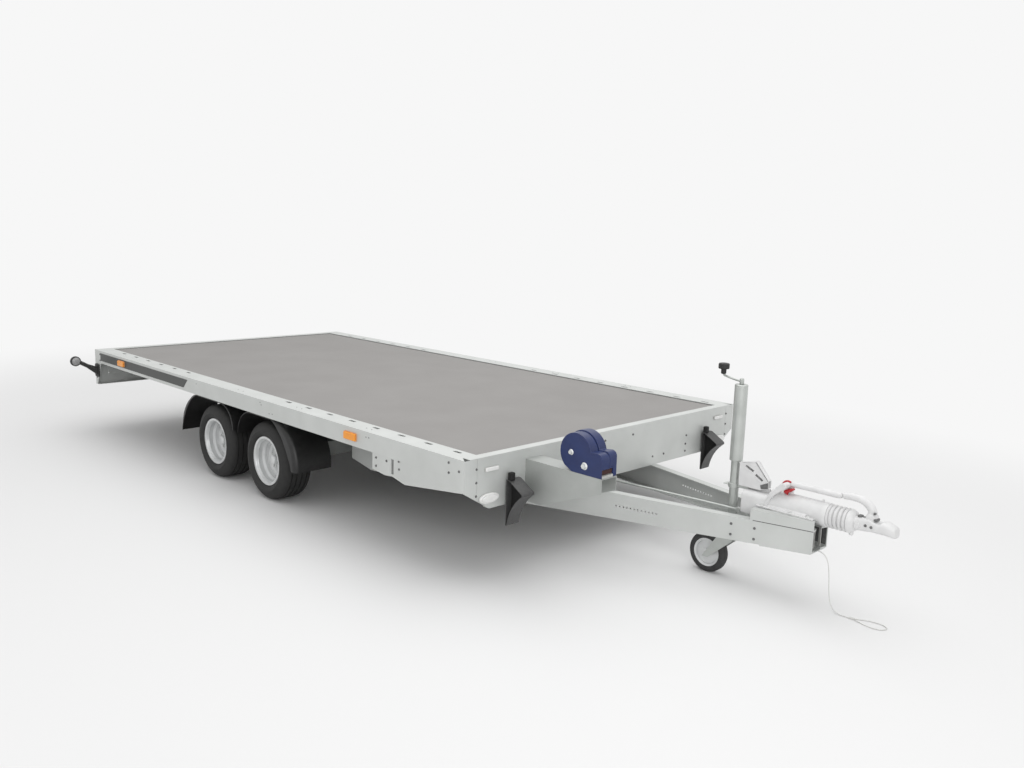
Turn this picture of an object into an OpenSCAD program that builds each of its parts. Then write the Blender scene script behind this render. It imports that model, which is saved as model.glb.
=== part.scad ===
// Tandem-axle platform trailer: V drawbar with overrun coupling, jockey wheel,
// flat plywood deck between folded side rails, off-centre winch on its own arm.
// Row frame: +X forward, +Y to the trailer's left, +Z up, floor at z = 0.

/* [Bed] */
// Length of the bed, rear face to front panel face
bed_l = 4240; // [3900:10:4700]
// Width of the bed over the side rails
bed_w = 2190; // [2050:10:2300]
// Height of the rail tops above the floor
deck_h = 611; // [600:1:660]
// Depth of the side rails
rail_h = 96; // [80:1:110]
// Width of the rails' top flange
rail_top_w = 118; // [105:1:140]
// Width of the lip that carries the deck
lip_w = 30; // [20:1:40]
// Width of the rails' bottom flange
rail_foot_w = 30; // [20:1:45]
// Thickness of the folded sheet
sheet = 4; // [3:0.5:5]
// Thickness of the deck board
deck_t = 18; // [12:1:21]
// Depth of the deck's face below the rail tops
deck_drop = 5; // [2:1:8]
// Joint between deck board and rails
deck_gap = 3; // [1:0.5:5]

/* [Tie-down slots] */
// Length of a slot
slot_l = 55; // [40:1:70]
// Width of a slot
slot_w = 18; // [12:1:22]
// Spacing of the slots along the rail
slot_pitch = 208.5; // [190:0.5:220]
// First slot's centre behind the front panel face
slot_front = 146; // [130:1:180]
// Slot line's distance in from the rail's outer face
slot_in = 87; // [60:1:90]
// Slots ahead of the wheels
slots_ahead = 8; // [4:1:8]
// Slots behind the wheels
slots_behind = 6; // [3:1:6]
// Last slot's centre ahead of the rear face
slot_rear = 341; // [300:1:400]

/* [Front panel and posts] */
// Width of the front panel's top flange
panel_top_w = 52; // [40:1:65]
// Width of the front panel's bottom flange
panel_foot_w = 40; // [30:1:55]
// Width of a front post's front leg
post_w = 78; // [60:1:95]
// Length of a front post's side leg
post_l = 110; // [90:1:140]
// Depth of a post at the bed's outer face
post_h = 153; // [135:1:170]
// Run of the slanted cut at each end of the panel
cut_run = 157; // [130:1:190]
// Length of the slanted notch between panel and rail
notch = 35; // [20:1:45]
// Seam left between post and panel
seam = 1; // [0.5:0.5:2]

/* [Rear panel] */
// Depth of the rear panel
rear_h = 266; // [250:1:290]
// Width of the rear panel's top flange
rear_top_w = 60; // [45:1:80]
// Width of the rear panel's bottom flange
rear_foot_w = 45; // [30:1:60]
// Length of a rear post's side leg at the top
rear_post_l = 106; // [90:1:130]
// Length of a rear post's side leg at the foot
rear_post_foot = 26; // [20:1:40]
// Width of a tail lamp
tail_w = 240; // [200:1:260]
// Height of a tail lamp
tail_h = 120; // [100:1:140]
// Tail lamp's outer edge in from the bed's side
tail_in = 90; // [70:1:150]

/* [Frame underneath] */
// Depth of the cross members
cross_h = 66; // [50:1:75]
// Width of the cross members' flanges
cross_w = 40; // [30:1:50]
// Depth of the chassis members
chassis_h = 156; // [140:1:170]
// Width of the chassis members' flanges
chassis_w = 60; // [45:1:70]
// Chassis members' outer faces from the centre line
chassis_y = 680; // [640:1:700]
// Wall of the chassis members
chassis_t = 5; // [4:0.5:6]
// Chassis members' front end behind the front panel
chassis_front = 60; // [56:1:120]
// Chassis members' length behind the rear axle
chassis_rear = 500; // [400:10:700]
// Cross members between the panel and the front axle
cross_ahead = 3; // [2:1:4]
// Cross members between the rear axle and the rear panel
cross_behind = 3; // [2:1:4]

/* [Side brackets] */
// Side bracket's rear end behind the front panel face
bracket_l = 687; // [600:1:750]
// Depth of the bracket below the rail at its rear end
bracket_rear_h = 84; // [60:1:100]
// Depth of the bracket below the rail at its deepest
bracket_h = 110; // [90:1:130]
// Bracket's deepest point behind the front panel face
bracket_low = 427; // [380:1:480]
// Bracket's set-back from the rail's outer face
bracket_in = 2; // [1:0.5:4]
// Bracket slot's centre behind the front panel face
bracket_slot_x = 525; // [500:1:560]
// Bracket slot's width
bracket_slot_w = 20; // [14:1:26]

/* [Drawbar] */
// Beams' front ends behind the coupling's tip
beam_back = 335; // [300:5:380]
// Beams' outer faces from the centre line at the front end
beam_tip_y = 68.6; // [64:0.2:74]
// Beams' outer faces from the centre line at the front panel
beam_panel_y = 340; // [310:1:370]
// Depth of a beam at its front end
beam_h = 100; // [85:1:115]
// Depth of a beam behind its taper
beam_deep = 150; // [130:1:165]
// Width of a beam's flanges
beam_w = 44; // [36:1:46]
// Wall of a beam
beam_t = 5; // [4:0.5:6]
// Taper's end behind the front panel face
taper_end = 300; // [200:10:400]
// Beams' rear ends behind the front panel face
beam_rear = 1450; // [1380:10:1480]
// Holes in the row through each beam
row_holes = 12; // [6:1:14]
// Spacing of the holes in the row
row_pitch = 19.5; // [16:0.5:22]
// First hole of the row behind the beam's front end
row_start = 740; // [600:5:800]
// Radius of the holes in the row
row_r = 5; // [3:0.5:6]

/* [Coupling] */
// Height of the spacers between beams and overrun housing
spacer_h = 49; // [40:1:60]
// Length of the spacers
spacer_l = 285; // [250:1:320]
// Length of the plate under the beams' front ends
foot_plate_l = 222; // [180:1:223]
// Coupling's tip ahead of the front panel face
hitch_l = 1490; // [1400:5:1600]
// Height of the drawn tube's axis above the spacers
draw_rise = 23; // [15:1:30]
// Radius of the overrun housing's tube
housing_r = 55; // [48:1:62]
// Housing tube's rear end behind the coupling's tip
housing_back = 585; // [540:5:600]
// Housing tube's length
housing_l = 285; // [240:1:290]
// Thickness of the housing's flange plate
housing_plate = 8; // [6:1:12]
// Length of the relay housing behind the tube
relay_l = 127; // [100:1:130]
// Width of the relay housing
relay_w = 116; // [108:1:120]
// Relay housing's top above the drawn tube's axis
relay_rise = 21; // [15:1:23]
// Relay housing's underside below the drawn tube's axis
relay_drop = 74; // [60:1:75]
// Radius of the bellows' ribs
bellows_r = 54; // [46:1:58]
// Depth of the bellows' grooves
bellows_groove = 10; // [6:1:14]
// Number of bellows ribs
bellows_ribs = 5; // [4:1:7]
// Length of the bellows
bellows_l = 92; // [80:1:100]
// Radius of the drawn tube
draw_r = 30; // [24:1:36]
// Width of the coupling head's body
head_w = 72; // [66:1:84]
// Radius of the ball socket
socket_r = 25.3; // [24.5:0.1:26.5]
// Ball's centre behind the coupling's tip
socket_back = 62; // [58:1:75]
// Radius of the coupling's grip
grip_r = 16; // [11:1:17]
// Grip's foot behind the ball's centre
grip_back = 50; // [44:1:56]
// Height of the coupling's grip above the drawn tube's axis
grip_rise = 108; // [95:1:125]

/* [Hand brake] */
// Hand brake's pivot behind the coupling's tip
lever_back = 505; // [480:5:520]
// Height of the lever's rod above the drawn tube's axis
lever_rise = 100; // [92:1:112]
// Length of the lever from its pivot
lever_l = 255; // [225:1:255]
// Radius of the lever's rod
lever_r = 13; // [10:1:14]
// Thickness of the bracket between jockey tube and housing
stay_t = 8; // [6:1:12]
// Radius of the brake rod
brake_rod_r = 6; // [5:0.5:8]
// Height of the brake rod's front end above the beams
brake_rod_rise = 4; // [0:1:10]
// Brake rod's distance from the centre line, on the right
brake_rod_y = 50; // [48:1:52]

/* [Jockey wheel] */
// Jockey tube's axis behind the coupling's tip
jockey_back = 786; // [760:1:810]
// Radius of the outer tube
tube_r = 31; // [29:0.5:34]
// Wall of the outer tube
tube_t = 4; // [3:0.5:5]
// Height of the outer tube's lower end above the spacers
tube_rise = 174; // [150:1:190]
// Length of the outer tube
tube_l = 364; // [330:1:400]
// Radius of the sliding tube
stem_r = 22; // [19:0.5:24]
// Length of the sliding tube inside the outer tube
stem_in = 185; // [140:1:200]
// Height of the jockey's clamp above the spacers
clamp_rise = 41; // [36:1:50]
// Play around the sliding tube
stem_gap = 0.4; // [0.3:0.1:1]
// Diameter of the jockey's wheel
roller_d = 200; // [180:1:210]
// Width of the jockey's wheel
roller_w = 50; // [40:1:60]
// Trail of the jockey's wheel behind its tube
trail = 115; // [100:1:125]
// Gap between fork and wheel on each side
fork_gap = 6; // [5:0.5:8]
// Thickness of the fork's cheeks
fork_t = 5; // [4:0.5:6]
// Radius of the jockey wheel's axle
roller_pin = 6; // [5:0.5:8]
// Reach of the crank behind the tube
crank_reach = 97; // [80:1:110]
// Height of the crank's knob top above the tube's top
knob_top = 95; // [80:1:110]

/* [Winch] */
// Winch arm's outer face from the centre line
winch_y = 705; // [690:1:730]
// Width of the winch arm
winch_w = 106; // [96:1:120]
// Reach of the winch arm
winch_l = 467; // [440:1:500]
// Drop of the winch arm's top below the deck
winch_drop = 50; // [40:1:60]
// Depth of the winch arm at its front end
winch_tip_h = 68; // [60:1:80]
// Depth of the winch arm at the panel
winch_root_h = 205; // [190:1:225]
// Radius of the winch's drum cover
drum_r = 92; // [84:1:98]
// Drum's centre ahead of the front panel face
drum_x = 309; // [295:1:315]
// Height of the drum's centre above the arm
drum_rise = 90; // [84:1:95]
// Height of the gear cover above the arm
gear_h = 110; // [100:1:118]

/* [Chocks] */
// Chocks' centres from the centre line
chock_y = 800; // [786:1:840]
// Width of a chock
chock_w = 80; // [70:1:90]
// Length of a chock, standing upright on the panel
chock_l = 222; // [205:1:240]
// Reach of a chock from its back
chock_reach = 102; // [90:1:115]
// Height of the chock's nose above its toe
chock_nose = 157; // [140:1:170]
// Toe's thickness
chock_toe = 12; // [9:1:20]
// Radius of the chock's hollow face
chock_r = 240; // [200:5:300]
// Chock holder's thickness
holder_t = 10; // [8:1:14]
// Height of a chock holder
holder_h = 90; // [70:1:110]
// Chock's toe below the front panel's foot
chock_drop = 100; // [90:1:110]

/* [Lamps and markers] */
// Front lamps' centres in from the bed's side
front_lamp_in = 165; // [150:1:180]
// Width of a front lamp
front_lamp_w = 86; // [75:1:95]
// Height of a front lamp
front_lamp_h = 24; // [20:1:32]
// Front lamps' centres below the rail tops
front_lamp_drop = 62; // [50:1:70]
// Reach of the front lamps
front_lamp_t = 22; // [15:1:28]
// Width of a front reflector
reflector_w = 122; // [110:1:130]
// Height of a front reflector
reflector_h = 50; // [40:1:60]
// Reach of a front reflector
reflector_t = 20; // [14:1:26]
// Front reflectors' centres in from the bed's side
reflector_in = 150; // [140:1:165]
// Front reflectors' centres below the rail tops
reflector_drop = 196; // [185:1:205]
// Length of a side marker
marker_l = 110; // [90:1:125]
// Height of a side marker
marker_h = 45; // [35:1:50]
// Reach of a side marker
marker_t = 14; // [10:1:18]
// Front side marker's centre behind the front panel
marker_front = 870; // [820:1:900]
// Rear side marker's centre ahead of the rear face
marker_rear = 503; // [460:1:540]
// Side markers' centre below the rail tops
marker_drop = 47; // [44:1:52]
// Height of the dark side strips
strip_h = 57; // [48:1:60]
// Length of the dark side strips
strip_l = 1440; // [1200:10:1500]
// Thickness of the dark side strips
strip_t = 2; // [1:0.5:3]
// Reach of an outline lamp beyond the bed's side
outline_reach = 158; // [130:1:180]
// Outline lamps' centres below the rail tops
outline_drop = 74; // [50:1:90]
// Width of an outline lamp's foot
outline_foot_w = 72; // [60:1:80]
// Height of an outline lamp's foot
outline_foot_h = 100; // [85:1:110]
// Foot's centre below the outline lamp's centre
outline_foot_drop = 81; // [70:1:90]
// Radius of an outline lamp
outline_r = 37; // [30:1:42]
// Thickness of an outline lamp
outline_t = 48; // [40:1:56]
// Outline lamps' centres ahead of the rear face
outline_x = 46; // [40:1:60]

/* [Axles and wheels] */
// Middle of the two axles behind the front panel face
axle_mid = 2100; // [2000:10:2200]
// Spacing of the two axles
axle_gap = 624; // [600:2:660]
// Diameter of a tyre
tyre_d = 468; // [440:2:480]
// Width of a tyre
tyre_w = 200; // [175:1:205]
// Tyre's outer face in from the bed's side
tyre_in = 25; // [15:1:35]
// Diameter of the rim's flanges
rim_d = 291; // [270:1:296]
// Width between the rim's flanges
rim_w = 168; // [150:1:170]
// Radius of the rim's well
well_r = 122; // [116:1:126]
// Depth of the rim's flanges over the bead seat
bead = 12; // [10:0.5:14]
// Disc's back face outwards of the wheel's middle
disc_at = 2; // [-10:1:12]
// Radius of the brake drum
drum_out = 104; // [96:1:108]
// Radius of a stub axle
stub_r = 17; // [15:0.5:19]
// Play between stub axle and hub
stub_play = 0.05; // [0.03:0.01:0.1]
// Side of the axle tubes
axle_side = 84; // [70:1:90]
// Trail of the swing arms
arm_trail = 150; // [130:1:160]
// Height of the axle tubes' axes above the wheels' axes
arm_rise = 68; // [60:1:75]
// Thickness of the swing arms
arm_t = 28; // [22:1:30]
// Gap between swing arm and tyre
arm_clear = 8; // [6:1:12]

/* [Mudguards] */
// Mudguards' outer edges in from the bed's side
guard_in = 12; // [8:1:20]
// Width of the mudguards
guard_w = 240; // [225:1:245]
// Thickness of the mudguards
guard_t = 4; // [3:0.5:5]
// Mudguards' tops below the cross members
guard_drop = 16; // [12:1:20]
// Radius of the mudguards' outer ends
guard_r = 250; // [235:1:265]
// Radius of the mudguards' inner ends
guard_inner_r = 150; // [130:1:170]
// Reach of a mudguard beyond its axle
guard_reach = 385; // [365:1:420]
// Height of the mudguards' outer ends above the floor
guard_end_z = 228; // [200:1:250]
// Gap between two mudguards at the top
guard_between = 60; // [50:1:90]
// Depth of the lip along a mudguard's outer edge
guard_lip = 26; // [18:1:34]

/* [Breakaway cable] */
// Radius of the breakaway cable
cable_r = 2; // [1.5:0.5:3]
// Length of the cable's crimped sleeve
ferrule_l = 24; // [18:1:30]
// Width of the cable's crimped sleeve
ferrule_w = 13; // [12:1:18]

/* [Hidden] */
$fn = 64;

// Bed outline
panel_x = (bed_l - hitch_l) / 2;
rear_x = panel_x - bed_l;
side_y = bed_w / 2;
rail_low = deck_h - rail_h;
deck_y = side_y - rail_top_w - deck_gap;
lip_top = deck_h - deck_drop - deck_t;
lip_low = lip_top - sheet;
cross_low = lip_low - cross_h;
beam_top = cross_low - chassis_h;
panel_h = deck_h - beam_top;
post_y = side_y - post_w;
cut_slope = (panel_h - post_h) / cut_run;
post_inner_h = post_h + post_w * cut_slope;
rear_low = deck_h - rear_h;

// Axles and wheels
axle_x = [panel_x - axle_mid + axle_gap / 2, panel_x - axle_mid - axle_gap / 2];
wheel_z = tyre_d / 2;
tyre_out = side_y - tyre_in;
tyre_mid = tyre_out - tyre_w / 2;
arm_y = tyre_out - tyre_w - arm_t - arm_clear;
axle_z = wheel_z + arm_rise;
stub_l = 112;
stub_end = stub_l - tyre_w / 2 - arm_clear;

// Drawbar
beam_reach = hitch_l - beam_back;
beam_a = atan((beam_panel_y - beam_tip_y) / beam_reach);
beam_x = panel_x + beam_reach;
beam_len = (beam_reach + beam_rear) / cos(beam_a);
taper_u = (beam_reach + taper_end) / cos(beam_a);
mount_top = beam_top + spacer_h;
draw_z = mount_top + draw_rise;
tip_x = panel_x + hitch_l;
socket_x = tip_x - socket_back;
housing_at = tip_x - housing_back;
housing_end = housing_at + housing_l;
grip_x = socket_x - grip_back;
bellows_end = housing_end + bellows_l;

// Jockey wheel
jockey_at = tip_x - jockey_back;
roller_x = jockey_at - trail;
roller_z = roller_d / 2;
fork_top = roller_d + 20;
stem_low = fork_top + 6;
tube_low = mount_top + tube_rise;
tube_top = tube_low + tube_l;
brake_rod_z = beam_top + brake_rod_rise;

// Winch
winch_top = deck_h - winch_drop;
drum_at = panel_x + drum_x;
winch_tip = panel_x + winch_l;

// Outline lamps
outline_z = deck_h - outline_drop;

// Cable route: out of the plate at the drawbar's end, down to the floor, then a long loop
CABLE = [
    [2524, 0, 259], [2536, 0, 258], [2550, 0, 253], [2563, 0, 243], [2573, -1, 227],
    [2580, -2, 206], [2585, -3, 180], [2589, -4, 150], [2592, -5, 118], [2596, -6, 86],
    [2602, -7, 56], [2612, -8, 31], [2628, -9, 13], [2650, -9, 4], [2676, -9, 2.4],
    [2706, -8.5, 2.4], [2740, -16, 2.4], [2772, -27, 2.4], [2806, -32, 2.4], [2838, -26, 2.4],
    [2856, -9, 2.4], [2858, 9, 2.4], [2844, 26, 2.4], [2810, 33, 2.4], [2774, 28, 2.4],
    [2742, 13, 2.4], [2720, -1, 2.4], [2700, -3.5, 2.4]
];

module both() {
    children();
    mirror([0, 1, 0]) children();
}

// A plate drawn in X and Z, from y down to y - t
module xz(y, t) translate([0, y, 0]) rotate([90, 0, 0]) linear_extrude(t) children();

// A plate drawn in Y and Z, from x up to x + t
module yz(x, t) translate([x, 0, 0]) rotate([90, 0, 90]) linear_extrude(t) children();

// A section drawn in Y and Z and extruded from x0 to x1
module run(x0, x1) yz(x0, x1 - x0) children();

module slot(x, y) {
    translate([x, y, deck_h - sheet - 1]) linear_extrude(sheet + 2) {
        translate([-(slot_l - slot_w) / 2, -slot_w / 2]) square([slot_l - slot_w, slot_w]);
        for (e = [-1, 1]) translate([e * (slot_l - slot_w) / 2, 0]) circle(d = slot_w);
    }
}

module deck_panel() color([0.64, 0.63, 0.62])
    translate([rear_x + rear_top_w + deck_gap, -deck_y, lip_top])
        cube([bed_l - rear_top_w - panel_top_w - 2 * deck_gap, 2 * deck_y, deck_t]);

// Right rail: web, top flange, drop leg and lip under the deck, bottom flange
module rail_section() {
    translate([-side_y, rail_low]) square([sheet, rail_h]);
    translate([-side_y, deck_h - sheet]) square([rail_top_w, sheet]);
    translate([-side_y + rail_top_w - sheet, lip_low]) square([sheet, deck_h - lip_low]);
    translate([-side_y + rail_top_w - sheet, lip_low]) square([lip_w + sheet, sheet]);
    translate([-side_y, rail_low]) square([rail_foot_w, sheet]);
}

module rail() {
    difference() {
        union() {
            run(rear_x + rear_post_l, panel_x - post_l) rail_section();
            translate([rear_x + rear_top_w, -side_y, deck_h - sheet])
                cube([bed_l - rear_top_w - panel_top_w, rail_top_w, sheet]);
            translate([rear_x, -side_y, deck_h - sheet])
                cube([rear_top_w + 1, notch, sheet]);
            translate([panel_x - panel_top_w - 1, -side_y, deck_h - sheet])
                linear_extrude(sheet) polygon([[0, 0], [panel_top_w + 1, 0], [1, notch], [0, notch]]);
        }
        for (k = [0 : slots_ahead - 1])
            slot(panel_x - slot_front - k * slot_pitch, -side_y + slot_in);
        for (k = [0 : slots_behind - 1])
            slot(rear_x + slot_rear + k * slot_pitch, -side_y + slot_in);
    }
}

module side_rail_right() color([0.77, 0.78, 0.77]) rail();
module side_rail_left() color([0.77, 0.78, 0.77]) mirror([0, 1, 0]) rail();

// Front panel with slanted lower corners, top flange with its lip, bottom flange
module front_panel() color([0.77, 0.78, 0.77]) {
    face_y = post_y - seam;
    yz(panel_x - sheet, sheet)
        polygon([[-face_y, deck_h], [face_y, deck_h], [face_y, deck_h - post_inner_h],
            [side_y - cut_run, beam_top], [cut_run - side_y, beam_top],
            [-face_y, deck_h - post_inner_h]]);
    translate([panel_x - panel_top_w, notch - side_y, deck_h - sheet])
        cube([panel_top_w, bed_w - 2 * notch, sheet]);
    translate([panel_x - panel_top_w, -deck_y, lip_low])
        cube([sheet, 2 * deck_y, deck_h - lip_low]);
    translate([panel_x - panel_top_w - lip_w, -deck_y + lip_w, lip_low])
        cube([lip_w + sheet, 2 * (deck_y - lip_w), sheet]);
    translate([panel_x - panel_foot_w, cut_run - side_y, beam_top])
        cube([panel_foot_w, bed_w - 2 * cut_run, sheet]);
}

// Folded corner post: side leg flush with the rail, front leg flush with the panel
module front_post() {
    top = deck_h - sheet;
    xz(-side_y + sheet, sheet)
        polygon([[panel_x - post_l, top], [panel_x, top], [panel_x, deck_h - post_h],
            [panel_x - post_l, rail_low]]);
    yz(panel_x - sheet, sheet)
        polygon([[-side_y, top], [-post_y, top], [-post_y, deck_h - post_inner_h],
            [-side_y, deck_h - post_h]]);
}

module front_posts() color([0.77, 0.78, 0.77]) both() front_post();

module tail_pocket(grow) {
    for (s = [-1, 1])
        translate([s * (side_y - tail_in - tail_w / 2), deck_h - rear_h / 2])
            square([tail_w + grow, tail_h + grow], center = true);
}

// Rear panel with two lamp cut-outs, top flange with its lip, bottom flange
module rear_panel() color([0.77, 0.78, 0.77]) {
    face_y = side_y - sheet - seam;
    difference() {
        yz(rear_x, sheet)
            translate([-face_y, rear_low]) square([2 * face_y, rear_h - sheet]);
        translate([-1, 0, 0]) yz(rear_x, sheet + 2) tail_pocket(seam);
    }
    translate([rear_x, notch - side_y, deck_h - sheet])
        cube([rear_top_w, bed_w - 2 * notch, sheet]);
    translate([rear_x + rear_top_w - sheet, -deck_y, lip_low])
        cube([sheet, 2 * deck_y, deck_h - lip_low]);
    translate([rear_x + rear_top_w - sheet, -deck_y + lip_w, lip_low])
        cube([lip_w + sheet, 2 * (deck_y - lip_w), sheet]);
    translate([rear_x, -face_y, rear_low]) cube([rear_foot_w, 2 * face_y, sheet]);
}

module rear_posts() color([0.77, 0.78, 0.77]) both()
    xz(-side_y + sheet, sheet)
        polygon([[rear_x, deck_h - sheet], [rear_x + rear_post_l, deck_h - sheet],
            [rear_x + rear_post_l, rail_low], [rear_x + rear_post_foot, rear_low],
            [rear_x, rear_low]]);

// Open channel lying on its back, from y0 to y1
module cross_member(x) {
    inner = side_y - sheet - seam;
    translate([x - cross_w / 2, -inner, cross_low]) difference() {
        cube([cross_w, 2 * inner, cross_h]);
        translate([sheet, -1, sheet]) cube([cross_w, 2 * inner + 2, cross_h - 2 * sheet]);
        for (s = [0, 1])
            translate([-1, s * (2 * inner - rail_foot_w), -1])
                cube([cross_w + 2, rail_foot_w, rail_low + sheet + 1 - cross_low + 1]);
    }
}

module cross_members() color([0.74, 0.75, 0.74]) {
    ahead = (panel_x - axle_x[0]) / (cross_ahead + 1);
    behind = (axle_x[1] - rear_x) / (cross_behind + 1);
    for (k = [1 : cross_ahead]) cross_member(panel_x - k * ahead);
    for (x = axle_x) cross_member(x);
    for (k = [1 : cross_behind]) cross_member(rear_x + k * behind);
}

module chassis_members() color([0.74, 0.75, 0.74]) both() {
    x0 = axle_x[1] - chassis_rear;
    x1 = panel_x - chassis_front;
    run(x0, x1) difference() {
        translate([-chassis_y, beam_top]) square([chassis_w, chassis_h]);
        translate([-chassis_y + chassis_t, beam_top + chassis_t])
            square([chassis_w, chassis_h - 2 * chassis_t]);
    }
}

// Plate below the rail just behind the front post, with one upright slot
module side_brackets() color([0.75, 0.76, 0.75]) both() {
    y = -side_y + bracket_in + sheet;
    difference() {
        xz(y, sheet)
            polygon([[panel_x - bracket_l, rail_low], [panel_x - bracket_l, rail_low - bracket_rear_h],
                [panel_x - bracket_slot_x - 60, rail_low - bracket_rear_h - 12],
                [panel_x - bracket_slot_x, rail_low - bracket_rear_h - 6],
                [panel_x - bracket_low, rail_low - bracket_h],
                [panel_x - sheet - seam, deck_h - post_h], [panel_x - post_l, rail_low]]);
        xz(y + 1, sheet + 2)
            translate([panel_x - bracket_slot_x - bracket_slot_w / 2, rail_low - bracket_rear_h + 6])
                square([bracket_slot_w, bracket_rear_h - 8]);
    }
    translate([panel_x - bracket_l, y - sheet, rail_low - sheet])
        cube([bracket_l - post_l, rail_foot_w, sheet]);
}

// Local frame of the right beam: x runs back from its front end, y points outwards
module on_beam() translate([beam_x, -beam_tip_y, 0]) rotate([0, 0, 180 + beam_a]) children();

// Tapered channel, open towards the centre line
module beam() {
    on_beam() difference() {
        xz(0, beam_w)
            polygon([[0, beam_top], [beam_len, beam_top], [beam_len, beam_top - beam_h],
                [beam_len - beam_deep, beam_top - beam_deep], [taper_u, beam_top - beam_deep],
                [0, beam_top - beam_h]]);
        xz(-beam_t, beam_w)
            polygon([[-1, beam_top - beam_t], [beam_len + 1, beam_top - beam_t],
                [beam_len + 1, beam_top - beam_h + beam_t],
                [beam_len - beam_deep, beam_top - beam_deep + beam_t],
                [taper_u, beam_top - beam_deep + beam_t],
                [-1, beam_top - beam_h + beam_t]]);
        for (k = [0 : row_holes - 1])
            translate([row_start + k * row_pitch, 1, beam_top - (beam_h + beam_deep) / 4])
                rotate([90, 0, 0]) cylinder(r = row_r, h = beam_t + 2, $fn = 24);
    }
}

module drawbar_beam_right() color([0.77, 0.78, 0.77]) beam();
module drawbar_beam_left() color([0.77, 0.78, 0.77]) mirror([0, 1, 0]) beam();

// Channel spacers on the beams' front ends, with the plate below that ties them
module coupling_mount() color([0.77, 0.78, 0.77]) {
    both() on_beam() difference() {
        xz(0, beam_w)
            polygon([[0, beam_top], [spacer_l, beam_top], [spacer_l, mount_top], [0, mount_top]]);
        xz(-beam_t, beam_w)
            polygon([[-1, beam_top + beam_t], [spacer_l + 1, beam_top + beam_t],
                [spacer_l + 1, mount_top - beam_t], [-1, mount_top - beam_t]]);
    }
    slope = (beam_deep - beam_h) / taper_u;
    x1 = beam_x - 6;
    x0 = x1 - foot_plate_l;
    low = beam_top - beam_h;
    y0 = beam_tip_y + (beam_x - x0) * tan(beam_a);
    y1 = beam_tip_y + (beam_x - x1) * tan(beam_a);
    intersection() {
        xz(y0, 2 * y0)
            polygon([[x0, low - slope * (beam_x - x0) / cos(beam_a) - beam_t],
                [x1, low - slope * (beam_x - x1) / cos(beam_a) - beam_t],
                [x1, low - slope * (beam_x - x1) / cos(beam_a)],
                [x0, low - slope * (beam_x - x0) / cos(beam_a)]]);
        linear_extrude(beam_top) polygon([[x0, -y0], [x1, -y1], [x1, y1], [x0, y0]]);
    }
}

// Overrun housing: flange plate on the spacers, tube, and the relay housing behind it
module overrun_housing() color([0.93, 0.93, 0.93]) {
    x0 = housing_at;
    plate_x1 = beam_x - 10;
    translate([x0 - relay_l, -relay_w / 2, draw_z - relay_drop])
        cube([relay_l, relay_w, relay_rise + relay_drop]);
    difference() {
        union() {
            translate([x0 - 40, -70, mount_top]) cube([plate_x1 - x0 + 40, 140, housing_plate]);
            translate([x0, 0, draw_z]) rotate([0, 90, 0]) cylinder(r = housing_r, h = housing_l);
        }
        translate([x0 - 1, 0, draw_z]) rotate([0, 90, 0])
            cylinder(r = draw_r + 1, h = housing_l + 2);
        translate([x0 - 50, -2 * housing_r, mount_top - 2 * housing_r])
            cube([housing_l + 100, 4 * housing_r, 2 * housing_r]);
    }
}

module bellows() color([0.9, 0.9, 0.9]) {
    rib = bellows_l / bellows_ribs;
    translate([housing_end, 0, draw_z]) rotate([0, 90, 0]) difference() {
        rotate_extrude() polygon(concat([[0, 0]],
            [for (k = [0 : bellows_ribs - 1]) each [
                [bellows_r - bellows_groove, k * rib], [bellows_r, (k + 0.5) * rib]]],
            [[bellows_r - bellows_groove, bellows_l], [0, bellows_l]]));
        translate([0, 0, -1]) cylinder(r = draw_r + 1, h = bellows_l + 2);
    }
}

// Coupling head: drawn tube, cone and neck, then a hood with the ball socket below
module coupling_head() color([0.92, 0.92, 0.92]) {
    tube_at = housing_at + 60;
    neck_r = head_w / 2 - 4;
    low = draw_z - 20;
    translate([tube_at, 0, draw_z]) rotate([0, 90, 0]) cylinder(r = draw_r, h = bellows_end + 40 - tube_at);
    translate([bellows_end, 0, draw_z]) rotate([0, 90, 0])
        cylinder(r1 = bellows_r - 1, r2 = neck_r, h = bellows_groove * 3);
    difference() {
        union() {
            hull() {
                translate([bellows_end + 44, 0, low]) cylinder(r = neck_r - 4, h = 57, $fn = 32);
                translate([grip_x, 0, low]) cylinder(r = neck_r, h = 57, $fn = 32);
            }
            hull() {
                translate([grip_x, 0, low]) cylinder(r = neck_r, h = 44, $fn = 32);
                translate([socket_x, 0, low]) cylinder(r = head_w / 2, h = 54, $fn = 32);
                translate([tip_x - neck_r, 0, low]) cylinder(r = neck_r, h = 44, $fn = 32);
            }
        }
        translate([socket_x, 0, low - 1]) cylinder(r = socket_r, h = 10);
        translate([socket_x, 0, draw_z - 11]) sphere(r = socket_r);
    }
}

// Curved grip over the coupling head
module coupling_handle() color([0.92, 0.92, 0.92]) {
    top = draw_z + grip_rise;
    x0 = bellows_end - 34;
    bend = 45;
    foot = 37;
    translate([grip_x, 0, draw_z + foot]) cylinder(r = grip_r, h = grip_rise - foot - bend);
    translate([grip_x - bend, 0, top - bend]) rotate([90, 0, 0])
        rotate_extrude(angle = 90) translate([bend, 0]) circle(r = grip_r);
    translate([x0, 0, top]) rotate([0, 90, 0]) cylinder(r = grip_r, h = grip_x - bend - x0);
}

// Hand brake: quadrant on the housing, rod forward, red release at the pivot
module handbrake_lever() color([0.92, 0.92, 0.92]) {
    x = tip_x - lever_back;
    translate([x - 20, -6, draw_z + housing_r]) cube([44, 12, lever_rise - housing_r + 13]);
    translate([x + 10, 0, draw_z + lever_rise]) rotate([0, 90, 0]) cylinder(r = lever_r, h = lever_l - 10);
}

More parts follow.
